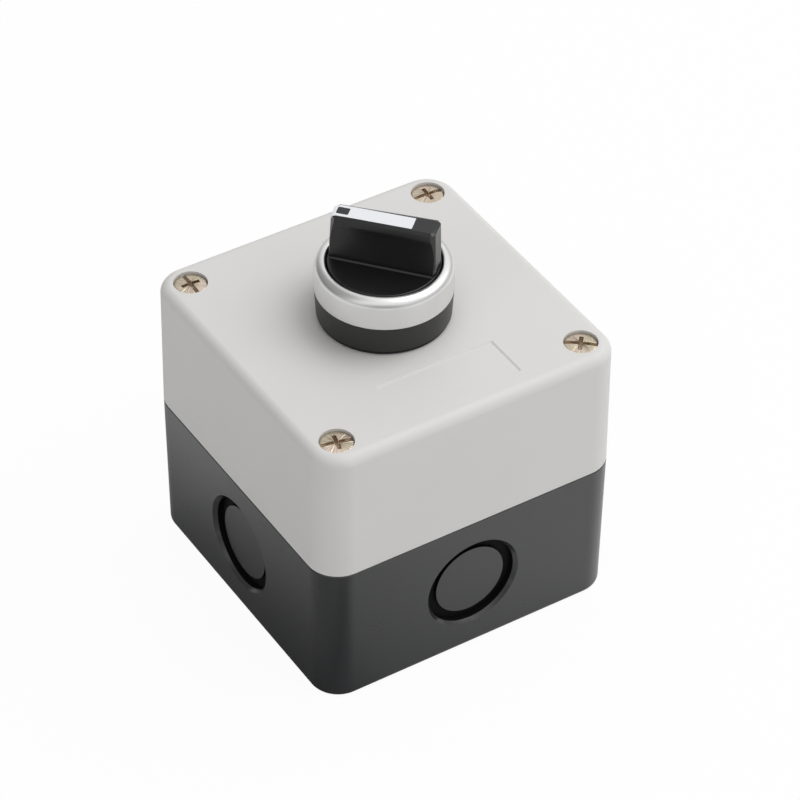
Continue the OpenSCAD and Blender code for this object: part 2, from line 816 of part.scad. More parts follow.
// Metal ring round the knob: a large rounded shoulder runs over into the opening
module bezel_ring() {
    opening_r = knob_r + run_gap;
    lip = [opening_r + bezel_lip_r, bezel_top - bezel_lip_r];
    shoulder_x = lip[0] + bezel_flat_w;
    shoulder_r = bezel_r - shoulder_x;
    shoulder = [shoulder_x, bezel_top - shoulder_r];
    color("#c6c6c4")
        rotate_extrude()
            difference() {
                union() {
                    polygon([
                        [opening_r, collar_top], [bezel_r, collar_top],
                        [bezel_r, shoulder[1]], shoulder, [shoulder_x, bezel_top],
                        [lip[0], bezel_top], lip, [opening_r, lip[1]]
                    ]);
                    translate(shoulder)
                        pie(shoulder_r);
                    translate(lip)
                        pie(bezel_lip_r, 90, 180);
                }
                translate([0, collar_top - overrun])
                    square([bezel_bore_r, spigot_top + pocket_gap - collar_top + overrun]);
            }
}

// Washer under the lid, notched for the body's key
module locating_washer() {
    color("#b9bcbf")
        translate([0, 0, washer_bottom])
            difference() {
                cylinder(h = washer_t, r = washer_r);
                translate([0, 0, -overrun])
                    cylinder(h = washer_t + 2 * overrun, r = barrel_r + fit_gap);
                translate([-key_w / 2 - pocket_gap, 0, -overrun])
                    cube([
                        key_w + 2 * pocket_gap, key_pocket_r, washer_t + 2 * overrun
                    ]);
            }
}

// Hexagonal nut that pulls the selector down on the lid
module fixing_nut() {
    color("#3c3d3f")
        translate([0, 0, nut_bottom])
            difference() {
                cylinder(h = nut_t, r = (barrel_r + nut_wall) / cos(30), $fn = 6);
                translate([0, 0, -overrun])
                    cylinder(h = nut_t + 2 * overrun, r = barrel_r + fit_gap);
            }
}

// All that lies behind one side of the handle, hollowed for the fingers
module handle_side() {
    half = handle_w / 2;
    far = handle_foot_r + handle_corner;
    face_top = handle_top - handle_bevel_h;
    rotate(-handle_taper)
        rotate([90, 0, 90])
            linear_extrude(2 * far, center = true)
                difference() {
                    polygon([
                        [-far, handle_bottom], [half + handle_foot_bevel, handle_bottom],
                        [half + handle_foot_bevel, knob_rim],
                        [half, knob_rim + handle_foot_bevel], [half, face_top],
                        [half - handle_bevel_w, handle_top], [-far, handle_top]
                    ]);
                    translate([
                        half + handle_hollow_r - handle_hollow, (knob_rim + face_top) / 2
                    ])
                        circle(handle_hollow_r);
                }
}

// All between two slanting faces across the handle, given by their distances from the axis
module handle_span(turn, marked_foot, marked_top, plain_foot, plain_top) {
    face_top = handle_top - handle_bevel_h;
    rotate([90, 0, turn])
        linear_extrude(2 * handle_foot_r + 2 * handle_corner, center = true)
            polygon([
                [-plain_foot, handle_bottom], [marked_foot, handle_bottom],
                [marked_top, face_top], [marked_top - handle_bevel_w, handle_top],
                [handle_bevel_w - plain_top, handle_top], [-plain_top, face_top]
            ]);
}

// Space that the handle fills, x towards its marked end
module handle_form() {
    taper = tan(handle_taper);
    corner_in = handle_w / 2 - handle_corner;
    marked_foot = (handle_foot_r * (1 - taper) + corner_in) * sin(45);
    marked_top = (pointer_reach * (1 - taper) + corner_in) * sin(45);
    plain_foot = (handle_foot_r * (1 + taper) + corner_in) * sin(45);
    plain_top = (tail_reach * (1 + taper) + corner_in) * sin(45);
    intersection() {
        handle_side();
        mirror([0, 1, 0])
            handle_side();
        handle_span(0, handle_foot_r, pointer_reach, handle_foot_r, tail_reach);
        handle_span(45, marked_foot, marked_top, plain_foot, plain_top);
        handle_span(-45, marked_foot, marked_top, plain_foot, plain_top);
        translate([0, 0, handle_bottom])
            cylinder(h = handle_top - handle_bottom, r = handle_foot_r);
    }
}

// Marker's outline from above, larger by a gap on its long sides and inner end
module marker_plan(gap) {
    marker_end = pointer_reach - (pointer_reach + tail_reach) * marker_share;
    translate([marker_end - gap, -marker_w / 2 - gap])
        square([handle_foot_r - marker_end + gap, marker_w + 2 * gap]);
}

// Outline of the peg that shows through the marker
module peg_plan(gap) {
    translate([pointer_reach - peg_margin - peg_l / 2, 0])
        round_rect(peg_l + 2 * gap, peg_w + 2 * gap, peg_r + gap);
}

// Black knob: a disc with an upright handle across it
module knob() {
    edge_mid = [knob_r - knob_edge_r, knob_rim - knob_edge_r];
    hub_r = spindle_head_d / 2 + 2 * pocket_gap + coring_wall;
    color("#242424")
        rotate(pointer_angle)
            difference() {
                union() {
                    rotate_extrude() {
                        polygon([
                            [0, knob_bottom], [knob_r, knob_bottom],
                            [knob_r, edge_mid[1]], edge_mid, [edge_mid[0], knob_rim],
                            [0, knob_rim]
                        ]);
                        translate(edge_mid)
                            pie(knob_edge_r);
                    }
                    handle_form();
                }
                translate([0, 0, knob_bottom - overrun])
                    cylinder(
                        h = spindle_head_h + pocket_gap + overrun,
                        r = spindle_head_d / 2 + fit_gap
                    );
                translate([
                    -tang_w / 2 - fit_gap, -tang_t / 2 - fit_gap, knob_bottom - overrun
                ])
                    cube([
                        tang_w + 2 * fit_gap, tang_t + 2 * fit_gap,
                        spindle_head_h + tang_h + pocket_gap + overrun
                    ]);
                translate([0, 0, knob_bottom - overrun])
                    linear_extrude(knob_disc_h / 2 + overrun)
                        difference() {
                            circle(knob_r - coring_wall);
                            circle(hub_r);
                        }
                translate([0, 0, handle_top - marker_t])
                    linear_extrude(marker_t + overrun)
                        difference() {
                            marker_plan(fit_gap);
                            peg_plan(0);
                        }
            }
}

// White marker let into the top of the handle
module marker_insert() {
    color("#e4e4e6")
        rotate(pointer_angle)
            intersection() {
                translate([0, 0, handle_top - marker_t])
                    linear_extrude(marker_t)
                        difference() {
                            marker_plan(0);
                            peg_plan(fit_gap);
                        }
                handle_form();
            }
}

// Corners of one section of the cam's ramp at an angle from its start
function cam_ring(a) =
    let (low = cam_face - cam_lift * min(a, turn_angle) / turn_angle,
         high = cam_face + cam_flange_t / 2)
    [
        for (corner = [
            [cam_inner_r, high], [cam_outer_r, high], [cam_outer_r, low], [cam_inner_r, low]
        ])
            [corner[0] * cos(a), corner[0] * sin(a), corner[1]]
    ];

// Spindle: head and tang in the knob, drum for the detent, flange with a two-start cam
module knob_spindle() {
    tang_bottom = knob_bottom + spindle_head_h;
    ramp_angles = [
        -cam_lead_angle,
        each [0 : cam_step_angle : turn_angle - cam_step_angle / 2],
        turn_angle, turn_angle + cam_dwell_angle
    ];
    color("#8a8d90")
        difference() {
            union() {
                rotate_extrude()
                    polygon([
                        [0, cam_face], [cam_flange_r, cam_face], [cam_flange_r, cam_top],
                        [drum_d / 2, cam_top], [drum_d / 2, drum_top],
                        [spindle_d / 2, drum_top],
                        [spindle_d / 2, o_ring_z - o_groove_h / 2],
                        [o_groove_r, o_ring_z - o_groove_h / 2],
                        [o_groove_r, o_ring_z + o_groove_h / 2],
                        [spindle_d / 2, o_ring_z + o_groove_h / 2],
                        [spindle_d / 2, knob_bottom],
                        [spindle_head_d / 2, knob_bottom],
                        [spindle_head_d / 2, tang_bottom], [0, tang_bottom]
                    ]);
                rotate(pointer_angle)
                    translate([-tang_w / 2, -tang_t / 2, tang_bottom - overrun])
                        cube([tang_w, tang_t, tang_h + overrun]);
                translate([0, 0, cam_face])
                    ring_sector(
                        cam_inner_r, lug_r, cam_flange_t,
                        lug_rest_angle - lug_half_angle, 2 * lug_half_angle
                    );
                for (start = [0, 180])
                    rotate(start)
                        ring_sweep([for (a = ramp_angles) cam_ring(a)]);
            }
            translate([0, 0, detent_z])
                rotate([0, 90, 0])
                    cylinder(h = drum_d + 2 * overrun, r = ball_r + fit_gap, center = true);
        }
}

// Rubber ring that seals the spindle in its body
module spindle_o_ring() {
    color("#161616")
        translate([0, 0, o_ring_z])
            rotate_extrude()
                translate([o_ring_mid_r, 0])
                    circle(d = o_ring_d);
}

// Two steel balls that click into the notches of the body
module detent_balls() {
    color("#d8dadd")
        for (side = [-1, 1])
            translate([side * ball_x, 0, detent_z])
                sphere(d = ball_d);
}

// Spring between the two balls, lying across the drum
module detent_spring() {
    color("#b5b8bc")
        translate([-detent_spring_len / 2, 0, detent_z])
            rotate([0, 90, 0])
                coil_spring(
                    detent_spring_r, detent_wire_d, detent_spring_len, detent_turns
                );
}

// Collar on the barrel's end, with ledges for the contact blocks' hooks
module mounting_collar() {
    ledge_w = 2 * block_x + hook_w + 2 * run_gap;
    color("#4a4b4d")
        difference() {
            translate([0, 0, barrel_end])
                linear_extrude(clamp_h)
                    round_rect(2 * clamp_half, 2 * clamp_half, clamp_corner_r);
            translate([0, 0, barrel_end - overrun])
                cylinder(h = clamp_h + 2 * overrun, r = barrel_r + fit_gap);
            for (side = [0, 180])
                rotate(side)
                    translate([-ledge_w / 2, clamp_half - ledge_depth, ledge_z])
                        cube([ledge_w, ledge_depth + overrun, clamp_h]);
            translate([0, 0, lock_screw_z])
                rotate([0, 90, 0])
                    cylinder(h = clamp_half + overrun, r = lock_screw_d / 2 + fit_gap);
        }
}

// Screw that locks the collar on the barrel
module collar_screw() {
    color("#c9cbcd")
        translate([0, 0, lock_screw_z])
            rotate([0, 90, 0]) {
                translate([0, 0, barrel_r + 2 * fit_gap])
                    cylinder(h = clamp_wall, d = lock_screw_d);
                translate([0, 0, clamp_half])
                    cross_head(lock_head_d, lock_head_h);
            }
}

// Puts a contact block's piece in place: side 1 is the break block, -1 the make block.
// The block's own frame has z = 0 at its top and x towards its cover.
module at_block(side) {
    translate([side * block_x, 0, barrel_end])
        rotate(side < 0 ? 180 : 0)
            children();
}

// Stands a drawing in y and z up, and gives it a thickness along x from a start
module across_block(from_x, to_x) {
    translate([from_x, 0, 0])
        rotate([90, 0, 90])
            linear_extrude(to_x - from_x)
                children();
}

// Stepped outline of a fixed strip, larger by a gap all round
module strip_plan(fixed_z, gap) {
    for (side = [0, 1])
        mirror([side, 0]) {
            translate([strip_inner - gap, fixed_z - gap])
                square([riser_y + strip_t - strip_inner + 2 * gap, strip_t + 2 * gap]);
            translate([riser_y - gap, terminal_strip - gap])
                square([strip_t + 2 * gap, fixed_z + strip_t - terminal_strip + 2 * gap]);
            translate([riser_y - gap, terminal_strip - gap])
                square([
                    terminal_outer - run_gap - riser_y + 2 * gap, strip_t + 2 * gap
                ]);
        }
}

// Housing of a contact block, open at the side where its cover goes
module contact_housing(fixed_z) {
    hook_outer = hook_inner + hook_t;
    barb_z = ledge_h + fit_gap;
    hook_tip = barb_z + barb_h;
    difference() {
        union() {
            translate([-block_w / 2, -block_l / 2, -block_h])
                cube([block_w - block_wall, block_l, block_h]);
            across_block(-hook_w / 2, hook_w / 2)
                for (side = [0, 1])
                    mirror([side, 0])
                        polygon([
                            [hook_inner, -block_wall], [hook_outer, -block_wall],
                            [hook_outer, barb_z + barb_h / 2],
                            [hook_inner + hook_t / 3, hook_tip],
                            [hook_inner - barb_reach, barb_z + barb_h / 3],
                            [hook_inner - barb_reach, barb_z], [hook_inner, barb_z]
                        ]);
        }
        difference() {
            across_block(-cavity_half, block_w / 2) {
                translate([-chamber_half, block_floor])
                    square([2 * chamber_half, block_h - 2 * block_wall]);
                for (side = [0, 1])
                    mirror([side, 0])
                        translate([terminal_inner, block_floor])
                            square([terminal_outer - terminal_inner, terminal_h]);
                strip_plan(fixed_z, fit_gap);
            }
            translate([0, 0, block_floor - overrun])
                cylinder(h = spring_pin_h + overrun, d = spring_pin_d);
        }
        translate([-pusher_w / 2 - pocket_gap, -pusher_w / 2 - pocket_gap, -block_wall - overrun])
            cube([
                pusher_w + 2 * pocket_gap, pusher_w + 2 * pocket_gap,
                block_wall + 2 * overrun
            ]);
        for (side = [0, 1])
            mirror([0, side, 0]) {
                translate([0, terminal_y, -block_h - overrun])
                    cylinder(h = block_wall + 2 * overrun, r = access_r);
                translate([-entry_w / 2, terminal_outer - overrun, plate_top - clamp_plate_t])
                    cube([
                        entry_w, block_wall + 2 * overrun, clamp_plate_t + wire_space
                    ]);
                translate([cavity_half - cover_peg_h, cover_peg_y, cover_peg_z])
                    rotate([0, 90, 0])
                        cylinder(h = cover_peg_h + overrun, r = cover_peg_r + fit_gap);
            }
    }
}

// Cover that closes a block's side, with two pegs
module side_cover() {
    translate([cavity_half, -block_l / 2, -block_h])
        cube([block_wall, block_l, block_h]);
    for (side = [-1, 1])
        translate([cavity_half - cover_peg_h + pocket_gap, side * cover_peg_y, cover_peg_z])
            rotate([0, 90, 0])
                cylinder(h = cover_peg_h, r = cover_peg_r);
}

// Plunger: rounded head for the cam, stem, and a carrier with a window for the bridge
module plunger(bridge_z) {
    head_z = pusher_rise - pusher_w / 2;
    difference() {
        union() {
            across_block(-pusher_w / 2, pusher_w / 2) {
                translate([-pusher_w / 2, carrier_top - overrun])
                    square([pusher_w, head_z - carrier_top + overrun]);
                translate([0, head_z])
                    intersection() {
                        circle(d = pusher_w);
                        translate([-pusher_w, 0])
                            square([2 * pusher_w, pusher_w]);
                    }
            }
            translate([-carrier_w / 2, -carrier_l / 2, carrier_bottom])
                cube([carrier_w, carrier_l, carrier_h]);
            translate([0, 0, carrier_bottom - spring_pin_h])
                cylinder(h = spring_pin_h + overrun, d = spring_pin_d);
        }
        translate([-bridge_w / 2 - fit_gap, -carrier_l / 2 - overrun, bridge_z])
            cube([
                bridge_w + 2 * fit_gap, carrier_l + 2 * overrun, strip_t + pocket_gap
            ]);
    }
}

// Moving strip with two tips, which point down on the make block and up on the break block
module bridge(bridge_z, tip_z) {
    translate([-bridge_w / 2, -bridge_l / 2, bridge_z])
        cube([bridge_w, bridge_l, strip_t]);
    for (side = [-1, 1])
        translate([0, side * tip_y, tip_z])
            cylinder(h = tip_h + strip_t / 2, d = tip_d);
}

// Pair of fixed strips, with a tip at the inner end and a screw hole at the outer one
module fixed_contacts(fixed_z, tip_z) {
    difference() {
        union() {
            across_block(-strip_w / 2, strip_w / 2)
                strip_plan(fixed_z, 0);
            for (side = [-1, 1])
                translate([0, side * tip_y, tip_z])
                    cylinder(h = tip_h + strip_t / 2, d = tip_d);
        }
        for (side = [-1, 1])
            translate([0, side * terminal_y, terminal_strip - overrun])
                cylinder(h = strip_t + 2 * overrun, r = terminal_screw_d / 2 + fit_gap);
    }
}

// Square plates that press the wires on the strips
module clamp_plates() {
    for (side = [-1, 1])
        translate([0, side * terminal_y, plate_top - clamp_plate_t])
            linear_extrude(clamp_plate_t)
                difference() {
                    square(clamp_plate_side, center = true);
                    circle(terminal_screw_d / 2 + fit_gap);
                }
}

// Terminal screws, with their heads at the block's underside
module terminal_screws() {
    for (side = [-1, 1])
        translate([0, side * terminal_y, terminal_head_top]) {
            rotate([180, 0, 0])
                cross_head(terminal_head_d, terminal_head_h);
            translate([0, 0, -terminal_head_h / 4])
                cylinder(
                    h = terminal_head_h / 4 + clamp_plate_t + wire_space + 2 * strip_t,
                    d = terminal_screw_d
                );
        }
}

// Return spring between the block's floor and the carrier
module return_spring() {
    translate([0, 0, block_floor])
        coil_spring(spring_mid_r, spring_wire_d, spring_h, spring_turns);
}

module make_housing() {
    color("#2f3133") at_block(-1) contact_housing(make_fixed_z);
}
module make_side_cover() {
    color("#3f7f55") at_block(-1) side_cover();
}
module make_plunger() {
    color("#2f9a57") at_block(-1) plunger(make_bridge_z);
}
module make_return_spring() {
    color("#b5b8bc") at_block(-1) return_spring();
}
module make_bridge() {
    color("#c9a04a") at_block(-1) bridge(make_bridge_z, make_bridge_z - tip_h);
}
module make_fixed_contacts() {
    color("#c9a04a")
        at_block(-1)
            fixed_contacts(make_fixed_z, make_fixed_z + strip_t / 2);
}
module make_clamp_plates() {
    color("#b9bcbf") at_block(-1) clamp_plates();
}
module make_terminal_screws() {
    color("#c9cbcd") at_block(-1) terminal_screws();
}
module break_housing() {
    color("#2f3133") at_block(1) contact_housing(break_fixed_z);
}
module break_side_cover() {
    color("#9c3a33") at_block(1) side_cover();
}
module break_plunger() {
    color("#c8352c") at_block(1) plunger(break_bridge_z);
}
module break_return_spring() {
    color("#b5b8bc") at_block(1) return_spring();
}
module break_bridge() {
    color("#c9a04a") at_block(1) bridge(break_bridge_z, break_bridge_z + strip_t / 2);
}
module break_fixed_contacts() {
    color("#c9a04a") at_block(1) fixed_contacts(break_fixed_z, break_fixed_z - tip_h);
}
module break_clamp_plates() {
    color("#b9bcbf") at_block(1) clamp_plates();
}
module break_terminal_screws() {
    color("#c9cbcd") at_block(1) terminal_screws();
}

base_box();
lid_cover();
lid_gasket();
lid_screws();
screw_retainers();
panel_seal();
operator_body();
bezel_ring();
locating_washer();
fixing_nut();
knob();
marker_insert();
knob_spindle();
spindle_o_ring();
detent_balls();
detent_spring();
mounting_collar();
collar_screw();
make_housing();
make_side_cover();
make_plunger();
make_return_spring();
make_bridge();
make_fixed_contacts();
make_clamp_plates();
make_terminal_screws();
break_housing();
break_side_cover();
break_plunger();
break_return_spring();
break_bridge();
break_fixed_contacts();
break_clamp_plates();
break_terminal_screws();
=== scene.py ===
# Control station with a rotary selector, dressed for rendering.
# Sizes in the code are in millimetres and are turned into metres with MM.
import json
import math

import bmesh
import bpy
from mathutils import Matrix, Vector


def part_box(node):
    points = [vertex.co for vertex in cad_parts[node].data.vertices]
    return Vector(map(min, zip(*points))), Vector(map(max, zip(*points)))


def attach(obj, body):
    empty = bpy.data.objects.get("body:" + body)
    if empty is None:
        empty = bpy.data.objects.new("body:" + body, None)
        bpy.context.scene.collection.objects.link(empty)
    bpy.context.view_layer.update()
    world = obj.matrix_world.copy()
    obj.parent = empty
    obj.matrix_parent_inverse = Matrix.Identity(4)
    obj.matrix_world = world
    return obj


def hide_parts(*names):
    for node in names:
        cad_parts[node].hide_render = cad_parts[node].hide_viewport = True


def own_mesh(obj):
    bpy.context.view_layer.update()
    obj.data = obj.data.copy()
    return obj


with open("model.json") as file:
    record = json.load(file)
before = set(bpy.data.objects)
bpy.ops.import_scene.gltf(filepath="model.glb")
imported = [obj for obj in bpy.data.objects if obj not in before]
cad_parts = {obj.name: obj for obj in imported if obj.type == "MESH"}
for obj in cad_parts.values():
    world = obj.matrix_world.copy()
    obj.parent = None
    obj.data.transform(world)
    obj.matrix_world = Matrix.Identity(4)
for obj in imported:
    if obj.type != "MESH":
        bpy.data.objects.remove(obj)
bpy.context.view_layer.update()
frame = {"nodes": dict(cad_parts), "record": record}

bl_info = {
    "name": "Control Station Builder",
    "version": (1, 0, 0),
    "blender": (4, 5, 0),
    "location": "View3D > Sidebar > Station",
    "description": "Builds the finishes and fine shapes of a control station round its frame",
    "category": "Object",
}

MM = 0.001
NODES = frame["nodes"]
MOUNTS = {mount["name"]: mount for mount in frame["record"]["mounts"]}
# Radius and height of a lid screw's head
LID_HEAD_R, LID_HEAD_H = 3.5, 2.4
# Depths under its top where the painted shade in its recess starts, is full, and ends
RECESS_SHADE_DEPTHS = {"Top": 0.35, "Full": 0.95, "End": 2.0}
# Direction of the handle's marked end at rest, in degrees from +X
POINTER_ANGLE = 132


def linear(red, green, blue):
    """Scene-linear colour of an 8-bit display colour."""
    return tuple(
        v / 12.92 if v <= 0.04045 else ((v + 0.055) / 1.055) ** 2.4
        for v in (red / 255, green / 255, blue / 255)
    )


def colour_prop(label, words, red, green, blue):
    return bpy.props.FloatVectorProperty(
        name=label,
        description=words,
        subtype="COLOR",
        size=3,
        min=0,
        max=1,
        default=linear(red, green, blue),
    )


def number_prop(label, words, default, low=0, **options):
    return bpy.props.FloatProperty(
        name=label, description=words, default=default, min=low, **options
    )


def length_prop(label, words, millimetres):
    return number_prop(
        label, words, millimetres * MM, subtype="DISTANCE", unit="LENGTH", precision=5
    )


def share_prop(label, words, default):
    return number_prop(label, words, default, subtype="FACTOR", max=1)


class StationColours(bpy.types.PropertyGroup):
    """Colours of the finishes"""

    lid: colour_prop("Lid", "Pale grey moulding of the lid", 213, 212, 210)
    base: colour_prop("Base", "Dark grey moulding of the base", 38, 39, 41)
    # Painted shade: a near-black colour that stands for the shade inside the grooves round the
    # knockouts
    groove: colour_prop("Groove", "Black of the grooves round the knockouts", 8, 8, 9)
    collar: colour_prop("Collar", "Black moulding under the bezel", 34, 34, 32)
    knob: colour_prop("Knob", "Black moulding of the knob", 22, 22, 23)
    marker: colour_prop("Marker", "White strip in the handle", 231, 232, 235)
    bezel: colour_prop("Bezel", "Satin metal of the bezel", 232, 232, 231)
    screw: colour_prop("Lid screws", "Warm plate of the lid screws", 216, 198, 183)
    screw_second: colour_prop("Second plate", "Greener parts of that plate", 196, 187, 164)
    # Painted shade: a darker, duller tint that stands for the shade deep in a lid screw's
    # recess
    recess: colour_prop("Screw recess", "Tarnish in the recess of a lid screw", 210, 196, 180)
    zinc: colour_prop("Zinc", "Zinc plate on the small fixings", 186, 189, 192)
    brass: colour_prop("Brass", "Contact strips", 201, 160, 84)
    steel: colour_prop("Spring steel", "Springs and detent balls", 178, 181, 185)
    block: colour_prop("Blocks", "Moulding of the contact blocks", 44, 46, 48)
    make: colour_prop("Make", "Green of the make block", 47, 138, 82)
    opener: colour_prop("Break", "Red of the break block", 186, 48, 40)
    rubber: colour_prop("Rubber", "Seals", 24, 24, 25)
    spindle: colour_prop("Spindle", "Grey moulding of the spindle", 132, 135, 138)


class StationSizes(bpy.types.PropertyGroup):
    """Sizes of the fine shapes"""

    shell_round: length_prop("Shell edges", "Rounding of the lid's and base's edges", 0.22)
    knob_round: length_prop("Knob edges", "Rounding of the knob's edges", 0.18)
    small_round: length_prop("Small edges", "Rounding of the small mouldings' edges", 0.12)
    lid_thread_pitch: length_prop("Lid screw pitch", "Pitch of the lid screws", 1.4)
    barrel_thread_pitch: length_prop("Barrel pitch", "Pitch of the thread on the barrel", 1.0)
    return_wire: length_prop("Return wire", "Wire of the return springs", 0.5)
    detent_wire: length_prop("Detent wire", "Wire of the detent spring", 0.35)
    turned_sides: bpy.props.IntProperty(
        name="Turned sides",
        description="Number of sides of the turned pieces",
        min=24,
        max=256,
        default=144,
    )


class StationStage(bpy.types.PropertyGroup):
    """Camera and light"""

    lens: number_prop("Lens", "Focal length on a 36 mm sensor, in millimetres", 168.727, 20)
    key: number_prop("Key lamp", "Power of the large lamp at the right, in watts", 3.75)
    sky: number_prop("Room light", "Brightness of the light from all round", 0.95)
    backdrop: share_prop("Backdrop", "How far the floor shows the camera its own white", 0.95)
    mirrored: share_prop("Mirrored floor", "How far gloss and glass see that white", 0.15)
    floor: colour_prop("Floor", "Plain pale floor", 236, 236, 236)


# Node helpers


def new_tree(name, kind, inputs, outputs):
    """Node group with named sockets, and what its input node offers."""
    tree = bpy.data.node_groups.new(name, kind)
    for label, socket, default in inputs:
        made = tree.interface.new_socket(
            name=label, in_out="INPUT", socket_type="NodeSocket" + socket
        )
        if default is not None:
            made.default_value = default
    for label, socket in outputs:
        tree.interface.new_socket(
            name=label, in_out="OUTPUT", socket_type="NodeSocket" + socket
        )
    return tree, tree.nodes.new("NodeGroupInput").outputs


def empty_nodes(owner):
    """Node tree of a material or a world, with no nodes in it."""
    owner.use_nodes = True
    owner.node_tree.nodes.clear()
    return owner.node_tree


def put(tree, kind, links=None, **settings):
    """Adds a node, sets its properties, and feeds its inputs with sockets or values."""
    node = tree.nodes.new(kind)
    for key, value in settings.items():
        setattr(node, key, value)
    for key, value in (links or {}).items():
        socket = node.inputs[key]
        if isinstance(value, bpy.types.NodeSocket):
            tree.links.new(value, socket)
        else:
            socket.default_value = value
    return node


def give(tree, socket):
    """Ends a node group with the one thing that it gives."""
    put(tree, "NodeGroupOutput", {0: socket})
    return tree


def result(tree, kind, links=None, **settings):
    """First output of a node that is added."""
    return put(tree, kind, links, **settings).outputs[0]


def maths(tree, operation, *values):
    return result(tree, "ShaderNodeMath", dict(enumerate(values)), operation=operation)


def vector_maths(tree, operation, *values):
    node = put(tree, "ShaderNodeVectorMath", dict(enumerate(values)), operation=operation)
    number = operation in ("LENGTH", "DISTANCE", "DOT_PRODUCT")
    return node.outputs["Value" if number else "Vector"]


def split(tree, vector):
    return put(tree, "ShaderNodeSeparateXYZ", {0: vector}).outputs


def combine(tree, *parts):
    return result(tree, "ShaderNodeCombineXYZ", dict(enumerate(parts)))


def noise(tree, vector, scale, detail, roughness):
    return result(
        tree,
        "ShaderNodeTexNoise",
        {"Vector": vector, "Scale": scale, "Detail": detail, "Roughness": roughness},
    )


def ramp(tree, value, near, far, low=0.0, high=1.0, kind="SMOOTHSTEP"):
    """Goes from low to high as a value goes from near to far."""
    return result(
        tree,
        "ShaderNodeMapRange",
        {"Value": value, "From Min": near, "From Max": far, "To Min": low, "To Max": high},
        interpolation_type=kind,
    )


def blend(tree, share, first, second):
    return result(tree, "ShaderNodeMix", {0: share, 2: first, 3: second}, data_type="FLOAT")


def blend_colours(tree, share, first, second):
    mix = put(tree, "ShaderNodeMix", {0: share, 6: first, 7: second}, data_type="RGBA")
    return mix.outputs[2]


BUILT = {}


def built(maker):
    """The node group that a function makes, made when it is first asked for."""
    if maker not in BUILT:
        BUILT[maker] = maker()
    return BUILT[maker]


# Shared shader effects


def new_effect(name, values, output, kind="Float"):
    """Shader group that reads a vector and values, and gives one output."""
    inputs = [("Vector", "Vector", None)]
    for label, value in values.items():
        inputs.append((label, "Color" if isinstance(value, tuple) else "Float", value))
    return new_tree(name, "ShaderNodeTree", inputs, [(output, kind)])


def grain_group():
    """Fine spark-eroded texture of a mould, and slow waves from the mould's cooling."""
    values = {"Scale": 5200.0, "Wave Scale": 60.0, "Wave Share": 0.3}
    tree, given = new_effect("Moulded grain", values, "Height")
    fine = noise(tree, given["Vector"], given["Scale"], 3.0, 0.6)
    wave = noise(tree, given["Vector"], given["Wave Scale"], 1.0, 0.4)
    return give(tree, blend(tree, given["Wave Share"], fine, wave))


def drift_group():
    """Slow change between two colours, as in plating or a moulding's pigment."""
    grey = (0.5, 0.5, 0.5, 1)
    values = {"Colour": grey, "Second Colour": grey, "Scale": 90.0}
    tree, given = new_effect("Colour drift", values, "Colour", "Color")
    all_first, all_second = 0.35, 0.65
    patch = noise(tree, given["Vector"], given["Scale"], 2.0, 0.55)
    share = ramp(tree, patch, all_first, all_second, kind="LINEAR")
    return give(tree, blend_colours(tree, share, given["Colour"], given["Second Colour"]))


def handling_group():
    """Roughness that varies where hands and cartons have touched the surface."""
    values = {"Roughness": 0.45, "Spread": 0.06, "Scale": 140.0}
    tree, given = new_effect("Handling marks", values, "Roughness")
    middle, full_swing = 0.5, 4.0
    broad = noise(tree, given["Vector"], given["Scale"], 4.0, 0.65)
    centred = maths(tree, "SUBTRACT", broad, middle)
    scaled = maths(tree, "MULTIPLY", centred, given["Spread"])
    return give(tree, maths(tree, "MULTIPLY_ADD", scaled, full_swing, given["Roughness"]))


def turned_group():
    """Fine rings that a lathe leaves round the upright axis."""
    tree, given = new_effect("Turned lines", {"Scale": 9000.0}, "Height")
    change_round_axis = 0.00002
    x, y, z = split(tree, given["Vector"])
    radius = vector_maths(tree, "LENGTH", combine(tree, x, y))
    angle = maths(tree, "ARCTAN2", y, x)
    slow = maths(tree, "MULTIPLY", angle, change_round_axis)
    return give(tree, noise(tree, combine(tree, radius, z, slow), given["Scale"], 2.0, 0.6))


def corner_place(tree, given):
    """Place relative to the nearest of four upright axes set in a square."""
    corner = combine(tree, given["Half Spacing"], given["Half Spacing"])
    folded = vector_maths(tree, "ABSOLUTE", given["Vector"])
    local = vector_maths(tree, "SUBTRACT", folded, corner)
    return vector_maths(tree, "MULTIPLY", local, (1, 1, 0))


def struck_group():
    """Fine rays that the heading tool leaves on four screw heads set in a square."""
    values = {"Half Spacing": 0.03, "Scale": 5.0}
    tree, given = new_effect("Struck rays", values, "Height")
    change_with_place = (20, 20, 0)
    way = vector_maths(tree, "NORMALIZE", corner_place(tree, given))
    shifted = vector_maths(tree, "MULTIPLY_ADD", given["Vector"], change_with_place, way)
    return give(tree, noise(tree, shifted, given["Scale"], 3.0, 0.6))


def recess_shade_group():
    """Mask of painted shade in the recesses of four screw heads, which grows with their depth.
    """
    values = {"Top": 0.0, "Full": -0.001, "End": -1.0, "Half Spacing": 0.03, "Radius": 0.0034}
    tree, given = new_effect("Painted recess shade", values, "Mask")
    height = split(tree, given["Vector"])[2]
    deep = ramp(tree, height, given["Top"], given["Full"])
    above = maths(tree, "GREATER_THAN", height, given["End"])
    away = vector_maths(tree, "LENGTH", corner_place(tree, given))
    within = maths(tree, "LESS_THAN", away, given["Radius"])
    return give(tree, maths(tree, "MULTIPLY", deep, maths(tree, "MULTIPLY", above, within)))


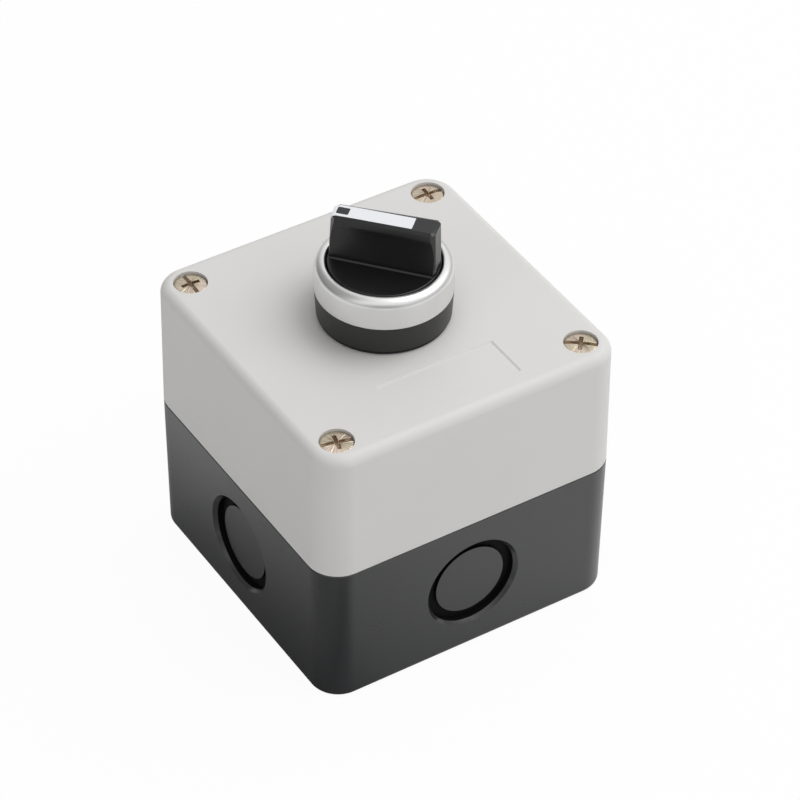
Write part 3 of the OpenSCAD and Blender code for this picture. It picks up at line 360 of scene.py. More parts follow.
def finish(
    name,
    colour,
    roughness,
    fade=1.0,
    second=None,
    spread=0.05,
    metallic=0.0,
    specular=0.5,
    grain_scale=5200.0,
    grain_depth=0.02,
    drift_scale=90.0,
    relief=grain_group,
    relief_values=None,
    mask=None,
    mask_values=None,
    mask_colour=None,
    mask_roughness=0.5,
):
    """Material with drifting colour, handled roughness and a fine relief.

    Its second colour is given, or is the first one made lighter or darker by fade. A mask
    group with its values covers part of it with a colour and roughness of its own.
    """
    material = bpy.data.materials.new(name)
    tree = empty_nodes(material)
    place = put(tree, "ShaderNodeTexCoord").outputs["Object"]

    def effect(maker, values):
        links = {"Vector": place, **values}
        return result(tree, "ShaderNodeGroup", links, node_tree=built(maker))

    second = second or [min(1.0, c * fade) for c in colour]
    tints = {"Colour": (*colour, 1.0), "Second Colour": (*second, 1.0)}
    shown = effect(drift_group, {**tints, "Scale": drift_scale})
    rough = effect(handling_group, {"Roughness": roughness, "Spread": spread})
    height = effect(relief, {"Scale": grain_scale, **(relief_values or {})})
    bumps = {"Strength": 1.0, "Distance": grain_depth * MM, "Height": height}
    if mask:
        share = effect(mask, mask_values)
        shown = blend_colours(tree, share, shown, (*mask_colour, 1.0))
        rough = blend(tree, share, rough, mask_roughness)
    surface = result(
        tree,
        "ShaderNodeBsdfPrincipled",
        {
            "Base Color": shown,
            "Roughness": rough,
            "Normal": result(tree, "ShaderNodeBump", bumps),
            "Metallic": metallic,
            "Specular IOR Level": specular,
        },
    )
    put(tree, "ShaderNodeOutputMaterial", {"Surface": surface})
    return material


def screw_values():
    """Where the rays on the lid screws' heads meet, and where painted shade darkens their
    recesses.
    """
    high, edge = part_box("lid_screws")[1], 0.06
    spacing = {"Half Spacing": high.x - LID_HEAD_R * MM}
    heights = {key: high.z - depth * MM for key, depth in RECESS_SHADE_DEPTHS.items()}
    return spacing, {**spacing, **heights, "Radius": (LID_HEAD_R - edge) * MM}


def finishes(key):
    """The finish with that name, made when it is first asked for."""
    name = "Finish " + key
    if name in bpy.data.materials:
        return bpy.data.materials[name]
    hue = bpy.context.scene.station_colours
    ray_values, recess_shade_values = screw_values()
    plain = {
        "lid": dict(colour=hue.lid, fade=0.985, roughness=0.48, spread=0.02,
                    grain_depth=0.012, drift_scale=40.0, specular=0.4),
        "base": dict(colour=hue.base, fade=0.95, roughness=0.26, spread=0.02,
                     grain_depth=0.008, drift_scale=50.0, specular=0.8),
        # Painted shade for the grooves round the knockouts
        "groove": dict(colour=hue.groove, roughness=0.7, specular=0.15),
        "collar": dict(colour=hue.collar, fade=0.85, roughness=0.42, grain_depth=0.01),
        "knob": dict(colour=hue.knob, fade=0.85, roughness=0.3, spread=0.03,
                     grain_depth=0.008, drift_scale=120.0),
        "marker": dict(colour=hue.marker, fade=0.98, roughness=0.4, spread=0.03,
                       grain_depth=0.006),
        "bezel": dict(colour=hue.bezel, fade=0.97, roughness=0.3, spread=0.02, metallic=1.0,
                      grain_scale=7000.0, grain_depth=0.004, relief=turned_group),
        "screw": dict(colour=hue.screw, second=hue.screw_second, roughness=0.26,
                      spread=0.04, metallic=1.0, grain_scale=4.0, grain_depth=0.22,
                      drift_scale=420.0, relief=struck_group, relief_values=ray_values,
                      # Its mask paints shade into the screws' recesses
                      mask=recess_shade_group, mask_colour=hue.recess, mask_values=recess_shade_values),
        "zinc": dict(colour=hue.zinc, fade=0.85, roughness=0.32, metallic=1.0,
                     grain_scale=2500.0, drift_scale=260.0),
        "brass": dict(colour=hue.brass, fade=0.8, roughness=0.28, metallic=1.0,
                      grain_scale=2500.0, grain_depth=0.008, drift_scale=300.0),
        "steel": dict(colour=hue.steel, fade=0.9, roughness=0.2, metallic=1.0,
                      grain_scale=4000.0, grain_depth=0.004),
        "block": dict(colour=hue.block, fade=0.85, roughness=0.45),
        "make": dict(colour=hue.make, fade=0.9, roughness=0.35),
        "break": dict(colour=hue.opener, fade=0.9, roughness=0.35),
        "rubber": dict(colour=hue.rubber, fade=1.6, roughness=0.68, grain_scale=3000.0,
                       grain_depth=0.03, specular=0.3),
        "foam": dict(colour=hue.rubber, fade=3.0, roughness=0.9, grain_scale=1600.0,
                     grain_depth=0.12, specular=0.2),
        "nylon": dict(colour=hue.marker, fade=0.93, roughness=0.4),
        "spindle": dict(colour=hue.spindle, fade=0.9, roughness=0.38),
        "nut": dict(colour=hue.collar, fade=1.4, roughness=0.5, grain_depth=0.03),
    }
    return finish(name, **plain[key])


# Mesh helpers


def outward(mesh):
    """Turns a closed mesh the right way out, and closes its doubled seams."""
    work = bmesh.new()
    work.from_mesh(mesh)
    bmesh.ops.remove_doubles(work, verts=work.verts, dist=1e-7)
    if work.calc_volume(signed=True) < 0:
        bmesh.ops.reverse_faces(work, faces=work.faces)
    work.to_mesh(mesh)
    work.free()
    return mesh


def new_object(name, data):
    """Object with that data, linked to the scene."""
    made = bpy.data.objects.new(name, data)
    bpy.context.scene.collection.objects.link(made)
    return made


def keep_piece(name, mesh, body, nodes=(), angle=30.0):
    """Makes a finished piece of a mesh and lets it ride on its body.

    It is shaded smooth up to the angle, or is left as it is with an angle of None.
    """
    mesh.name = name
    if angle:
        mesh.shade_smooth()
        mesh.set_sharp_from_angle(angle=math.radians(angle))
    piece = new_object(name, mesh)
    if nodes:
        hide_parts(*nodes)
    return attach(piece, body)


def evaluated_mesh(seed):
    """Plain mesh of an object with its modifiers; the object is deleted."""
    graph = bpy.context.evaluated_depsgraph_get()
    mesh = bpy.data.meshes.new_from_object(seed.evaluated_get(graph))
    bpy.data.objects.remove(seed)
    return mesh


def grow(name, maker, key, values, mesh=None):
    """Runs a geometry tree on a mesh, with its named inputs set, and keeps the result."""
    values = {**values, "Material": finishes(key)}
    seed = new_object(name + "_seed", mesh or bpy.data.meshes.new(name + "_start"))
    form = seed.modifiers.new("Form", "NODES")
    form.node_group = built(maker)
    for item in form.node_group.interface.items_tree:
        if item.in_out == "INPUT" and item.name in values:
            form[item.identifier] = values[item.name]
    return evaluated_mesh(seed)


def rounded(node, width, segments=2, angle=32.0, change=None):
    """Copy of a CAD node's mesh with its loose triangles joined and its edges rounded.

    The change, if one is given, moves the joined mesh's corners before the rounding.
    """
    flat = math.radians(0.6)
    work = bmesh.new()
    work.from_mesh(NODES[node].data)
    bmesh.ops.remove_doubles(work, verts=work.verts, dist=1e-6)
    bmesh.ops.dissolve_limit(work, angle_limit=flat, verts=work.verts, edges=work.edges)
    if change:
        change(work)
    mesh = bpy.data.meshes.new(node + "_copy")
    work.to_mesh(mesh)
    work.free()
    mesh.shade_smooth()
    seed = new_object(node + "_seed", mesh)
    bevel = seed.modifiers.new("Edges", "BEVEL")
    bevel.width = width
    bevel.segments = segments
    bevel.limit_method = "ANGLE"
    bevel.angle_limit = math.radians(angle)
    bevel.use_clamp_overlap = True
    bevel.miter_outer = "MITER_ARC"
    seed.modifiers.new("Normals", "WEIGHTED_NORMAL").keep_sharp = True
    return evaluated_mesh(seed)


def keep_rounded(name, node, width, body, slot, key, **options):
    """Finished piece made of a rounded copy of one CAD node."""
    mesh = rounded(node, width, **options)
    mesh.materials.clear()
    mesh.materials.append(finishes(key))
    return keep_piece(name, mesh, body, [node], angle=None)


def coat_node(node, key):
    """Gives a CAD node that stays its finish."""
    mesh = NODES[node].data
    if mesh.materials:
        NODES[node].material_slots[0].material = finishes(key)
    else:
        mesh.materials.append(finishes(key))


# Geometry trees


def new_form(name, *inputs):
    """Geometry tree with named inputs and a material."""
    inputs = (*inputs, ("Material", "Material", None))
    return new_tree(name, "GeometryNodeTree", inputs, [("Piece", "Geometry")])


def give_form(tree, given, piece):
    """Ends a geometry tree with the piece as real geometry in its material."""
    real = result(tree, "GeometryNodeRealizeInstances", {"Geometry": piece})
    coat = {"Geometry": real, "Material": given["Material"]}
    return give(tree, result(tree, "GeometryNodeSetMaterial", coat))


def turned_tree():
    """Turns a profile, given as a chain of points (radius, 0, height), round the axis."""
    tree, given = new_form(
        "Turned piece",
        ("Profile", "Geometry", None),
        ("Points", "Int", 8),
        ("Sides", "Int", 96),
    )
    columns = maths(tree, "ADD", given["Sides"], 1.0)
    counts = {"Vertices X": columns, "Vertices Y": given["Points"]}
    sheet = result(tree, "GeometryNodeMeshGrid", {"Size X": 1.0, "Size Y": 1.0, **counts})
    place = result(tree, "GeometryNodeInputPosition")
    across, along, _ = split(tree, place)
    around = maths(tree, "MULTIPLY", maths(tree, "ADD", across, 0.5), 2 * math.pi)
    last = maths(tree, "SUBTRACT", given["Points"], 1.0)
    step = maths(tree, "MULTIPLY", maths(tree, "ADD", along, 0.5), last)
    sample = result(
        tree,
        "GeometryNodeSampleIndex",
        {"Geometry": given["Profile"], "Value": place, "Index": maths(tree, "ROUND", step)},
        data_type="FLOAT_VECTOR",
        domain="POINT",
    )
    radius, _, height = split(tree, sample)
    x = maths(tree, "MULTIPLY", radius, maths(tree, "COSINE", around))
    y = maths(tree, "MULTIPLY", radius, maths(tree, "SINE", around))
    target = {"Geometry": sheet, "Position": combine(tree, x, y, height)}
    moved = result(tree, "GeometryNodeSetPosition", target)
    seams = {"Geometry": moved, "Distance": 1e-7}
    closed = result(tree, "GeometryNodeMergeByDistance", seams)
    return give_form(tree, given, closed)


def coil_tree():
    """Wire wound along a helix: a spring, or the ridge of a thread."""
    tree, given = new_form(
        "Wound wire",
        ("Coil Radius", "Float", 0.002),
        ("Wire Radius", "Float", 0.0003),
        ("Wire Sides", "Int", 12),
        ("Length", "Float", 0.01),
        ("Turns", "Float", 7.0),
        ("Steps", "Int", 28),
        ("Closed Share", "Float", 0.0),
        ("Place", "Vector", (0, 0, 0)),
        ("Turn", "Vector", (0, 0, 0)),
    )
    spiral = result(
        tree,
        "GeometryNodeCurveSpiral",
        {
            "Resolution": given["Steps"],
            "Rotations": given["Turns"],
            "Start Radius": given["Coil Radius"],
            "End Radius": given["Coil Radius"],
            "Height": given["Length"],
        },
    )
    x, y, z = split(tree, result(tree, "GeometryNodeInputPosition"))
    closed = ramp(tree, z, 0.0, given["Length"], 0.0, given["Length"])
    height = blend(tree, given["Closed Share"], z, closed)
    target = {"Geometry": spiral, "Position": combine(tree, x, y, height)}
    path = result(tree, "GeometryNodeSetPosition", target)
    round_wire = {"Resolution": given["Wire Sides"], "Radius": given["Wire Radius"]}
    wire = result(tree, "GeometryNodeCurvePrimitiveCircle", round_wire)
    sweep = {"Curve": path, "Profile Curve": wire, "Fill Caps": True}
    swept = result(tree, "GeometryNodeCurveToMesh", sweep)
    place = {"Geometry": swept, "Translation": given["Place"], "Rotation": given["Turn"]}
    return give_form(tree, given, result(tree, "GeometryNodeTransform", place))


def repeat_tree():
    """Puts a piece at the four corners of a rectangle, each turned by its own angle."""
    turns = [f"Turn {i + 1}" for i in range(4)]
    tree, given = new_form(
        "Repeat at corners",
        ("Unit", "Geometry", None),
        ("Spacing X", "Float", 0.01),
        ("Spacing Y", "Float", 0.01),
        *((turn, "Float", 0.0) for turn in turns),
    )
    size = {"Size X": given["Spacing X"], "Size Y": given["Spacing Y"]}
    counts = {"Vertices X": 2, "Vertices Y": 2}
    corners = result(tree, "GeometryNodeMeshGrid", {**size, **counts})
    choice = put(tree, "GeometryNodeIndexSwitch", data_type="FLOAT")
    while len(choice.index_switch_items) < len(turns):
        choice.index_switch_items.new()
    tree.links.new(result(tree, "GeometryNodeInputIndex"), choice.inputs[0])
    for i, turn in enumerate(turns):
        tree.links.new(given[turn], choice.inputs[i + 1])
    angle = combine(tree, 0.0, 0.0, choice.outputs[0])
    unit = {"Points": corners, "Instance": given["Unit"], "Rotation": angle}
    copies = result(tree, "GeometryNodeInstanceOnPoints", unit)
    return give_form(tree, given, copies)


def arc(centre_r, centre_z, radius, from_angle, to_angle, steps):
    """Points of an arc in the plane of a profile, in millimetres."""
    points = []
    for i in range(steps + 1):
        a = math.radians(from_angle + (to_angle - from_angle) * i / steps)
        points.append((centre_r + radius * math.cos(a), centre_z + radius * math.sin(a)))
    return points


def turned(name, profile, key, sides=None, closed=True):
    """Mesh turned from a profile of (radius, height) points in millimetres."""
    points = profile + profile[:1] if closed else profile
    chain = [(i, i + 1) for i in range(len(points) - 1)]
    mesh = bpy.data.meshes.new(name + "_profile")
    mesh.from_pydata([(r * MM, 0, z * MM) for r, z in points], chain, [])
    sides = sides or bpy.context.scene.station_sizes.turned_sides
    values = {"Points": len(points), "Sides": sides}
    return outward(grow(name, turned_tree, key, values, mesh))


def thread(name, key, core_r, ridge_r, foot, top, pitch, steps):
    """Mesh of a thread's ridge, on an upright core and with so many steps in a turn."""
    values = {
        "Coil Radius": core_r,
        "Wire Radius": ridge_r,
        "Wire Sides": 4,
        "Length": top - foot,
        "Turns": (top - foot) / pitch,
        "Steps": steps,
        "Place": (0, 0, foot),
    }
    return outward(grow(name, coil_tree, key, values))


def spring(name, width, length, wire, turns, place, turn=(0.0, 0.0, 0.0)):
    """Mesh of a coil spring, so wide and long outside, whose ends are wound closer."""
    values = {
        "Coil Radius": (width - wire) / 2,
        "Wire Radius": wire / 2,
        "Length": length - wire,
        "Turns": turns,
        "Closed Share": 0.5,
        "Place": place,
        "Turn": turn,
    }
    return outward(grow(name, coil_tree, "steel", values))


def four_screws(name, unit, key, spacing, angles):
    """Mesh of four copies of a screw, so far apart and turned by angles in degrees."""
    values = {"Spacing X": spacing[0], "Spacing Y": spacing[1]}
    for i, angle in enumerate(angles):
        values[f"Turn {i + 1}"] = math.radians(angle)
    return grow(name, repeat_tree, key, values, unit)


def join_meshes(name, meshes):
    work = bmesh.new()
    for mesh in meshes:
        work.from_mesh(mesh)
    joined = bpy.data.meshes.new(name)
    work.to_mesh(joined)
    work.free()
    return joined


def bar_mesh(length, width, lean, depth, angle, top):
    """Bar for cutting a recess down from a head's top, with sides that lean outward."""
    above = 0.6
    turn = Matrix.Rotation(math.radians(angle), 3, "Z")
    corners = []
    for rise in (-depth, above):
        x, y = length / 2 + lean * rise, width / 2 + lean * rise
        for corner in ((-x, -y), (x, -y), (x, y), (-x, y)):
            corners.append(turn @ Vector((*corner, top + rise)) * MM)
    faces = [(3, 2, 1, 0), (4, 5, 6, 7)]
    faces += [(i, (i + 1) % 4, 4 + (i + 1) % 4, 4 + i) for i in range(4)]
    mesh = bpy.data.meshes.new("cutter")
    mesh.from_pydata(corners, [], faces)
    return mesh


# Shares of a head's width: a slot's width, the cross's length and a tick's length
SLOT_SHARE, CROSS_SHARE, TICK_SHARE = 0.13, 0.6, 0.84
# Shares of a head's height: the depths of the slot and of the cross
SLOT_DEPTH_SHARE, CROSS_DEPTH_SHARE = 0.4, 0.6
# How far the cross's sides lean, and a tick's width, lean and depth in millimetres
CROSS_LEAN = 0.12
TICK_W, TICK_LEAN, TICK_DEPTH = 0.3, 0.7, 0.18


def cut_head(mesh, top, head_d, head_h, ticks=False):
    """Cuts a slot right across a turned head, a deeper cross, and fine ticks between."""
    width = head_d * SLOT_SHARE
    bars = [(2 * head_d, width, 0.0, head_h * SLOT_DEPTH_SHARE, 0)]
    cross = (head_d * CROSS_SHARE, width, CROSS_LEAN, head_h * CROSS_DEPTH_SHARE)
    bars += [(*cross, angle) for angle in (0, 90)]
    if ticks:
        tick = (head_d * TICK_SHARE, TICK_W, TICK_LEAN, TICK_DEPTH)
        bars += [(*tick, angle) for angle in (45, 135)]
    seed = new_object("head_seed", mesh)
    tools = [new_object("cutter", bar_mesh(*bar, top)) for bar in bars]
    for tool in tools:
        cut = seed.modifiers.new("Cut", "BOOLEAN")
        cut.operation = "DIFFERENCE"
        cut.solver = "EXACT"
        cut.object = tool
    made = evaluated_mesh(seed)
    for tool in tools:
        bpy.data.objects.remove(tool)
    return made


class StationOperator(bpy.types.Operator):
    """Base for the building steps"""

    bl_options = {"REGISTER", "UNDO"}

    def execute(self, context):
        self.build(context.scene.station_sizes)
        return {"FINISHED"}


class STATION_OT_base(StationOperator):
    """Lower shell with rounded edges and a fine moulded surface"""

    bl_idname = "station.base"
    bl_label = "Base shell"

    def build(self, size):
        piece = keep_rounded(
            "base_shell", "base_box", size.shell_round, "base", "base_grey", "base"
        )
        self.blacken_grooves(piece.data)

    def blacken_grooves(self, mesh):
        """Paints the faces of the grooves round the knockouts a dull near-black finish, as
        painted shade in the grooves.

        The grooves lie between the knockouts' discs, whose bevels stay grey, and their rims.
        """
        mesh.materials.append(finishes("groove"))
        half_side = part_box("base_box")[1].x
        centre_z = MOUNTS["knockout_front"]["pos_m"][2]
        disc_r, rim_r, bevel = 8.25 * MM, 10.55 * MM, 0.35 * MM
        mouth_depth, disc_depth, floor_depth = 1.0 * MM, 1.6 * MM, 2.5 * MM
        for face in mesh.polygons:
            radii, depths = [], []
            for i in face.vertices:
                x, y, z = mesh.vertices[i].co
                across, along = sorted((abs(x), abs(y)))
                radii.append(math.hypot(across, z - centre_z))
                depths.append(half_side - along)
            between = disc_r < min(radii) and max(radii) < rim_r
            inside = mouth_depth < min(depths) and max(depths) < floor_depth
            on_bevel = max(radii) <= disc_r + bevel and max(depths) <= disc_depth + bevel
            if between and inside and not on_bevel:
                face.material_index = 1


class STATION_OT_lid(StationOperator):
    """Upper shell with rounded edges and a fine moulded surface"""

    bl_idname = "station.lid"
    bl_label = "Lid shell"

    def build(self, size):
        keep_rounded(
            "lid_shell", "lid_cover", size.shell_round, "lid_unit", "lid_grey", "lid",
            change=self.slope_legend,
        )

    def slope_legend(self, work):
        """Moves floor corners of the legend recess, so that its far and right sides slope."""
        recess_depth, hair = 0.25 * MM, 0.02 * MM
        right_slope, far_slope = 0.4 * MM, 0.2 * MM
        floor_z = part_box("panel_seal")[0].z - recess_depth
        floor = [v for v in work.verts if abs(v.co.z - floor_z) < hair]
        high_x = max(v.co.x for v in floor)
        high_y = max(v.co.y for v in floor)
        for corner in floor:
            if corner.co.x == high_x:
                corner.co.x -= right_slope
            if corner.co.y == high_y:
                corner.co.y -= far_slope


class STATION_OT_lid_screws(StationOperator):
    """Four long screws with domed heads, slotted crosses and threads"""

    bl_idname = "station.lid_screws"
    bl_label = "Lid screws"

    def build(self, size):
        low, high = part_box("lid_screws")
        tip, top = low.z / MM, high.z / MM
        core_r, shank_r, tip_r = 1.62, 1.95, 0.7
        tip_h, point_h, runout, thread_top = 0.1, 1.9, 0.6, 37.0
        head_r, seat, bevel, edge_r = LID_HEAD_R, top - LID_HEAD_H, 0.15, 0.16
        dome_r, dome_radii = 8 * head_r, (3.1, 2.6, 2.0, 1.4, 0.7, 0.0)

        def dome_z(radius):
            return top - (dome_r - math.sqrt(dome_r**2 - radius**2))

        profile = [(0, tip), (tip_r, tip + tip_h), (core_r, tip + point_h)]
        profile += [(core_r, thread_top), (shank_r, thread_top + runout), (shank_r, seat)]
        profile += [(head_r - bevel, seat), (head_r, seat + bevel)]
        profile += arc(head_r - edge_r, dome_z(head_r) - edge_r, edge_r, 0, 70, 4)
        profile += [(radius, dome_z(radius)) for radius in dome_radii]
        body = turned("screw_unit", profile, "screw", sides=64, closed=False)
        head = cut_head(body, top, 2 * head_r, LID_HEAD_H, ticks=True)
        foot, end = (tip + 2.0) * MM, (thread_top - 0.4) * MM
        ridge = thread(
            "screw_ridge", "screw", core_r * MM, (shank_r - core_r) * MM, foot, end,
            pitch=size.lid_thread_pitch, steps=24,
        )
        unit = join_meshes("screw_unit", [head, ridge])
        spacing = [high[i] - low[i] - 2 * head_r * MM for i in (0, 1)]
        made = four_screws("lid_screw_set", unit, "screw", spacing, (-14, -91, -39, -3))
        keep_piece("lid_screw_set", made, "lid_unit", ("lid_screws",))


class STATION_OT_collar(StationOperator):
    """Selector body with its black collar, and the thread on its barrel"""

    bl_idname = "station.collar"
    bl_label = "Selector body"

    def build(self, size):
        keep_rounded(
            "selector_body", "operator_body", size.small_round, "lid_unit",
            "black_moulding", "collar",
        )
        barrel_r, ridge_r, margin = 11.0 * MM, 0.32 * MM, 0.3 * MM
        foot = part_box("mounting_collar")[1].z + margin
        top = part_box("fixing_nut")[0].z - margin
        ridge = thread(
            "barrel_thread", "collar", barrel_r, ridge_r, foot, top,
            pitch=size.barrel_thread_pitch, steps=96,
        )
        keep_piece("barrel_thread", ridge, "lid_unit")


class STATION_OT_bezel(StationOperator):
    """Satin metal ring whose large rounded shoulder runs over into its opening"""

    bl_idname = "station.bezel"
    bl_label = "Bezel"

    def build(self, size):
        low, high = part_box("bezel_ring")
        foot, top, outer = low.z / MM, high.z / MM, high.x / MM
        bore, opening, lip_low = 13.0, 12.1, top - 2.1
        shoulder_r, lip_r = 1.95, 0.4
        foot_bevel, skirt, bevel, crease = 0.12, 0.3, 0.1, 0.05
        profile = [(bore, foot + bevel), (bore + bevel, foot), (outer - foot_bevel, foot)]
        profile += [(outer, foot + foot_bevel), (outer, foot + skirt)]
        profile += arc(outer - shoulder_r, top - shoulder_r, shoulder_r, 0, 90, 14)
        profile += arc(opening + lip_r, top - lip_r, lip_r, 90, 180, 6)
        profile += [(opening, lip_low + bevel), (opening + bevel, lip_low)]
        profile += [(bore - crease, lip_low), (bore, lip_low - crease)]
        made = turned("bezel", profile, "bezel")
        keep_piece("bezel", made, "lid_unit", ("bezel_ring",), angle=50)


class STATION_OT_knob(StationOperator):
    """Black knob with soft edges, and the white marker in its handle"""

    bl_idname = "station.knob"
    bl_label = "Knob"

    def build(self, size):
        keep_rounded(
            "knob_handle", "knob", size.knob_round, "selector", "knob_black", "knob",
            segments=3, angle=24.0, change=self.sharpen,
        )
        keep_rounded(
            "marker_strip", "marker_insert", size.small_round / 2, "selector",
            "marker_white", "marker",
        )

    def sharpen(self, work):
        """Raises the disc's top to just under the bezel's, and sharpens the handle's foot.

        The bevels down the handle's corners keep their width at the top alone.
        """
        drop, lift, hair = 0.7 * MM, 0.45 * MM, 0.01 * MM
        disc_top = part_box("bezel_ring")[1].z - drop
        rim_r, foot_bevel = 0.3 * MM, 0.3 * MM
        full_bevel_z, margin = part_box("marker_insert")[0].z, 0.5 * MM
        inner, outer, narrowed = 10.0 * MM, 11.3 * MM, 0.5 * MM
        along = Matrix.Rotation(math.radians(POINTER_ANGLE), 3, "Z") @ Vector((1, 0, 0))
        for corner in work.verts:
            place = corner.co
            reach = place.dot(along)
            on_corner = inner < abs(reach) and math.hypot(place.x, place.y) < outer
            if on_corner and disc_top - hair < place.z < full_bevel_z - margin:
                share = (full_bevel_z - place.z) / (full_bevel_z - disc_top)
                corner.co += along * math.copysign(narrowed * share, reach)
            if disc_top - rim_r - hair < place.z < disc_top + foot_bevel + hair:
                corner.co.z += lift


class STATION_OT_seals(StationOperator):
    """Rubber seals and the foam gasket"""

    bl_idname = "station.seals"
    bl_label = "Seals"

    def build(self, size):
        low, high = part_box("panel_seal")
        foot, top, outer, inner = low.z / MM, high.z / MM, high.x / MM, 11.05
        edge_r = (top - foot) / 2
        edge = arc(outer - edge_r, foot + edge_r, edge_r, -90, 90, 8)
        made = turned("panel_gasket", [(inner, foot), *edge, (inner, top)], "rubber")
        keep_piece("panel_gasket", made, "lid_unit", ("panel_seal",))
        coat_node("lid_gasket", "foam")
        coat_node("spindle_o_ring", "rubber")


class STATION_OT_fixings(StationOperator):
    """Nut, washer, screw retainers and mounting collar under the lid"""

    bl_idname = "station.fixings"
    bl_label = "Fixings"

    def build(self, size):
        keep_rounded(
            "lock_nut", "fixing_nut", size.shell_round, "lid_unit", "nut_plastic", "nut"
        )
        keep_rounded(
            "block_carrier", "mounting_collar", size.small_round, "lid_unit",
            "collar_plastic", "nut",
        )
        coat_node("locating_washer", "zinc")
        coat_node("screw_retainers", "nylon")
        coat_node("collar_screw", "zinc")


class STATION_OT_detent(StationOperator):
    """Spindle with its cam, detent balls and the spring between them"""

    bl_idname = "station.detent"
    bl_label = "Spindle and detent"

    def build(self, size):
        coat_node("knob_spindle", "spindle")
        coat_node("detent_balls", "steel")
        low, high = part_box("detent_spring")
        wire, turns = size.detent_wire, 8.0
        made = spring(
            "detent_coil", high.z - low.z, high.x - low.x, wire, turns,
            place=(low.x + wire / 2, 0, (low.z + high.z) / 2),
            turn=(0, math.pi / 2, 0),
        )
        keep_piece("detent_coil", made, "selector", ("detent_spring",))


class STATION_OT_springs(StationOperator):
    """Return springs of the contact blocks"""

    bl_idname = "station.springs"
    bl_label = "Return springs"

    def build(self, size):
        wire, turns, travel = size.return_wire, 7.0, 3.01 * MM
        for kind in ("make", "break"):
            low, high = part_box(kind + "_return_spring")
            middle = (low + high) / 2
            tall = high.z - low.z
            made = spring(
                kind + "_coil", high.y - low.y, tall, wire, turns,
                place=(middle.x, middle.y, low.z + wire / 2),
            )
            piece = keep_piece(
                kind + "_coil", made, "lid_unit", (kind + "_return_spring",)
            )
            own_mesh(piece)


class STATION_OT_blocks(StationOperator):
    """Housings, covers and plungers of the contact blocks"""

    bl_idname = "station.blocks"
    bl_label = "Contact blocks"

    def build(self, size):
        edge = size.small_round
        for kind, slot in {"make": "green_plastic", "break": "red_plastic"}.items():
            keep_rounded(
                kind + "_case", kind + "_housing", edge, "lid_unit", "block_plastic", "block"
            )
            keep_rounded(kind + "_cover", kind + "_side_cover", edge, "lid_unit", slot, kind)
            keep_rounded(
                kind + "_pusher", kind + "_plunger", edge, kind + "_plunger_unit", slot, kind
            )
            coat_node(kind + "_bridge", "brass")
            coat_node(kind + "_fixed_contacts", "brass")
            coat_node(kind + "_clamp_plates", "zinc")


class STATION_OT_terminals(StationOperator):
    """Four terminal screws, two under each contact block"""

    bl_idname = "station.terminals"
    bl_label = "Terminal screws"

    def build(self, size):
        low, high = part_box("make_terminal_screws")
        # The screw is turned with its head up, and then put upside down
        top, tip = -low.z / MM, -high.z / MM
        head_r, head_h, shank_r = 2.9, 2.2, 1.7
        seat, bevel, tip_bevel = top - head_h, 0.1, 0.3
        # Radii of the domed top's points, and their depths
        dome = ((0.0, 0.0), (1.5, 0.05), (2.5, 0.2), (head_r, 0.5))
        profile = [(radius, top - depth) for radius, depth in dome]
        profile += [(head_r, seat + bevel), (head_r - bevel, seat), (shank_r, seat)]
        profile += [(shank_r, tip + tip_bevel), (shank_r - tip_bevel, tip), (0, tip)]
        body = turned("terminal_unit", profile, "zinc", sides=48, closed=False)
        head = cut_head(body, top, 2 * head_r, head_h)
        head.transform(Matrix.Rotation(math.pi, 4, "X"))
        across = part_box("break_terminal_screws")[0].x - low.x
        spacing = (across, high.y - low.y - 2 * head_r * MM)
        made = four_screws("terminal_screw_set", head, "zinc", spacing, (12, 67, -31, 95))
        keep_piece(
            "terminal_screw_set", made, "lid_unit",
            ("make_terminal_screws", "break_terminal_screws"),
        )


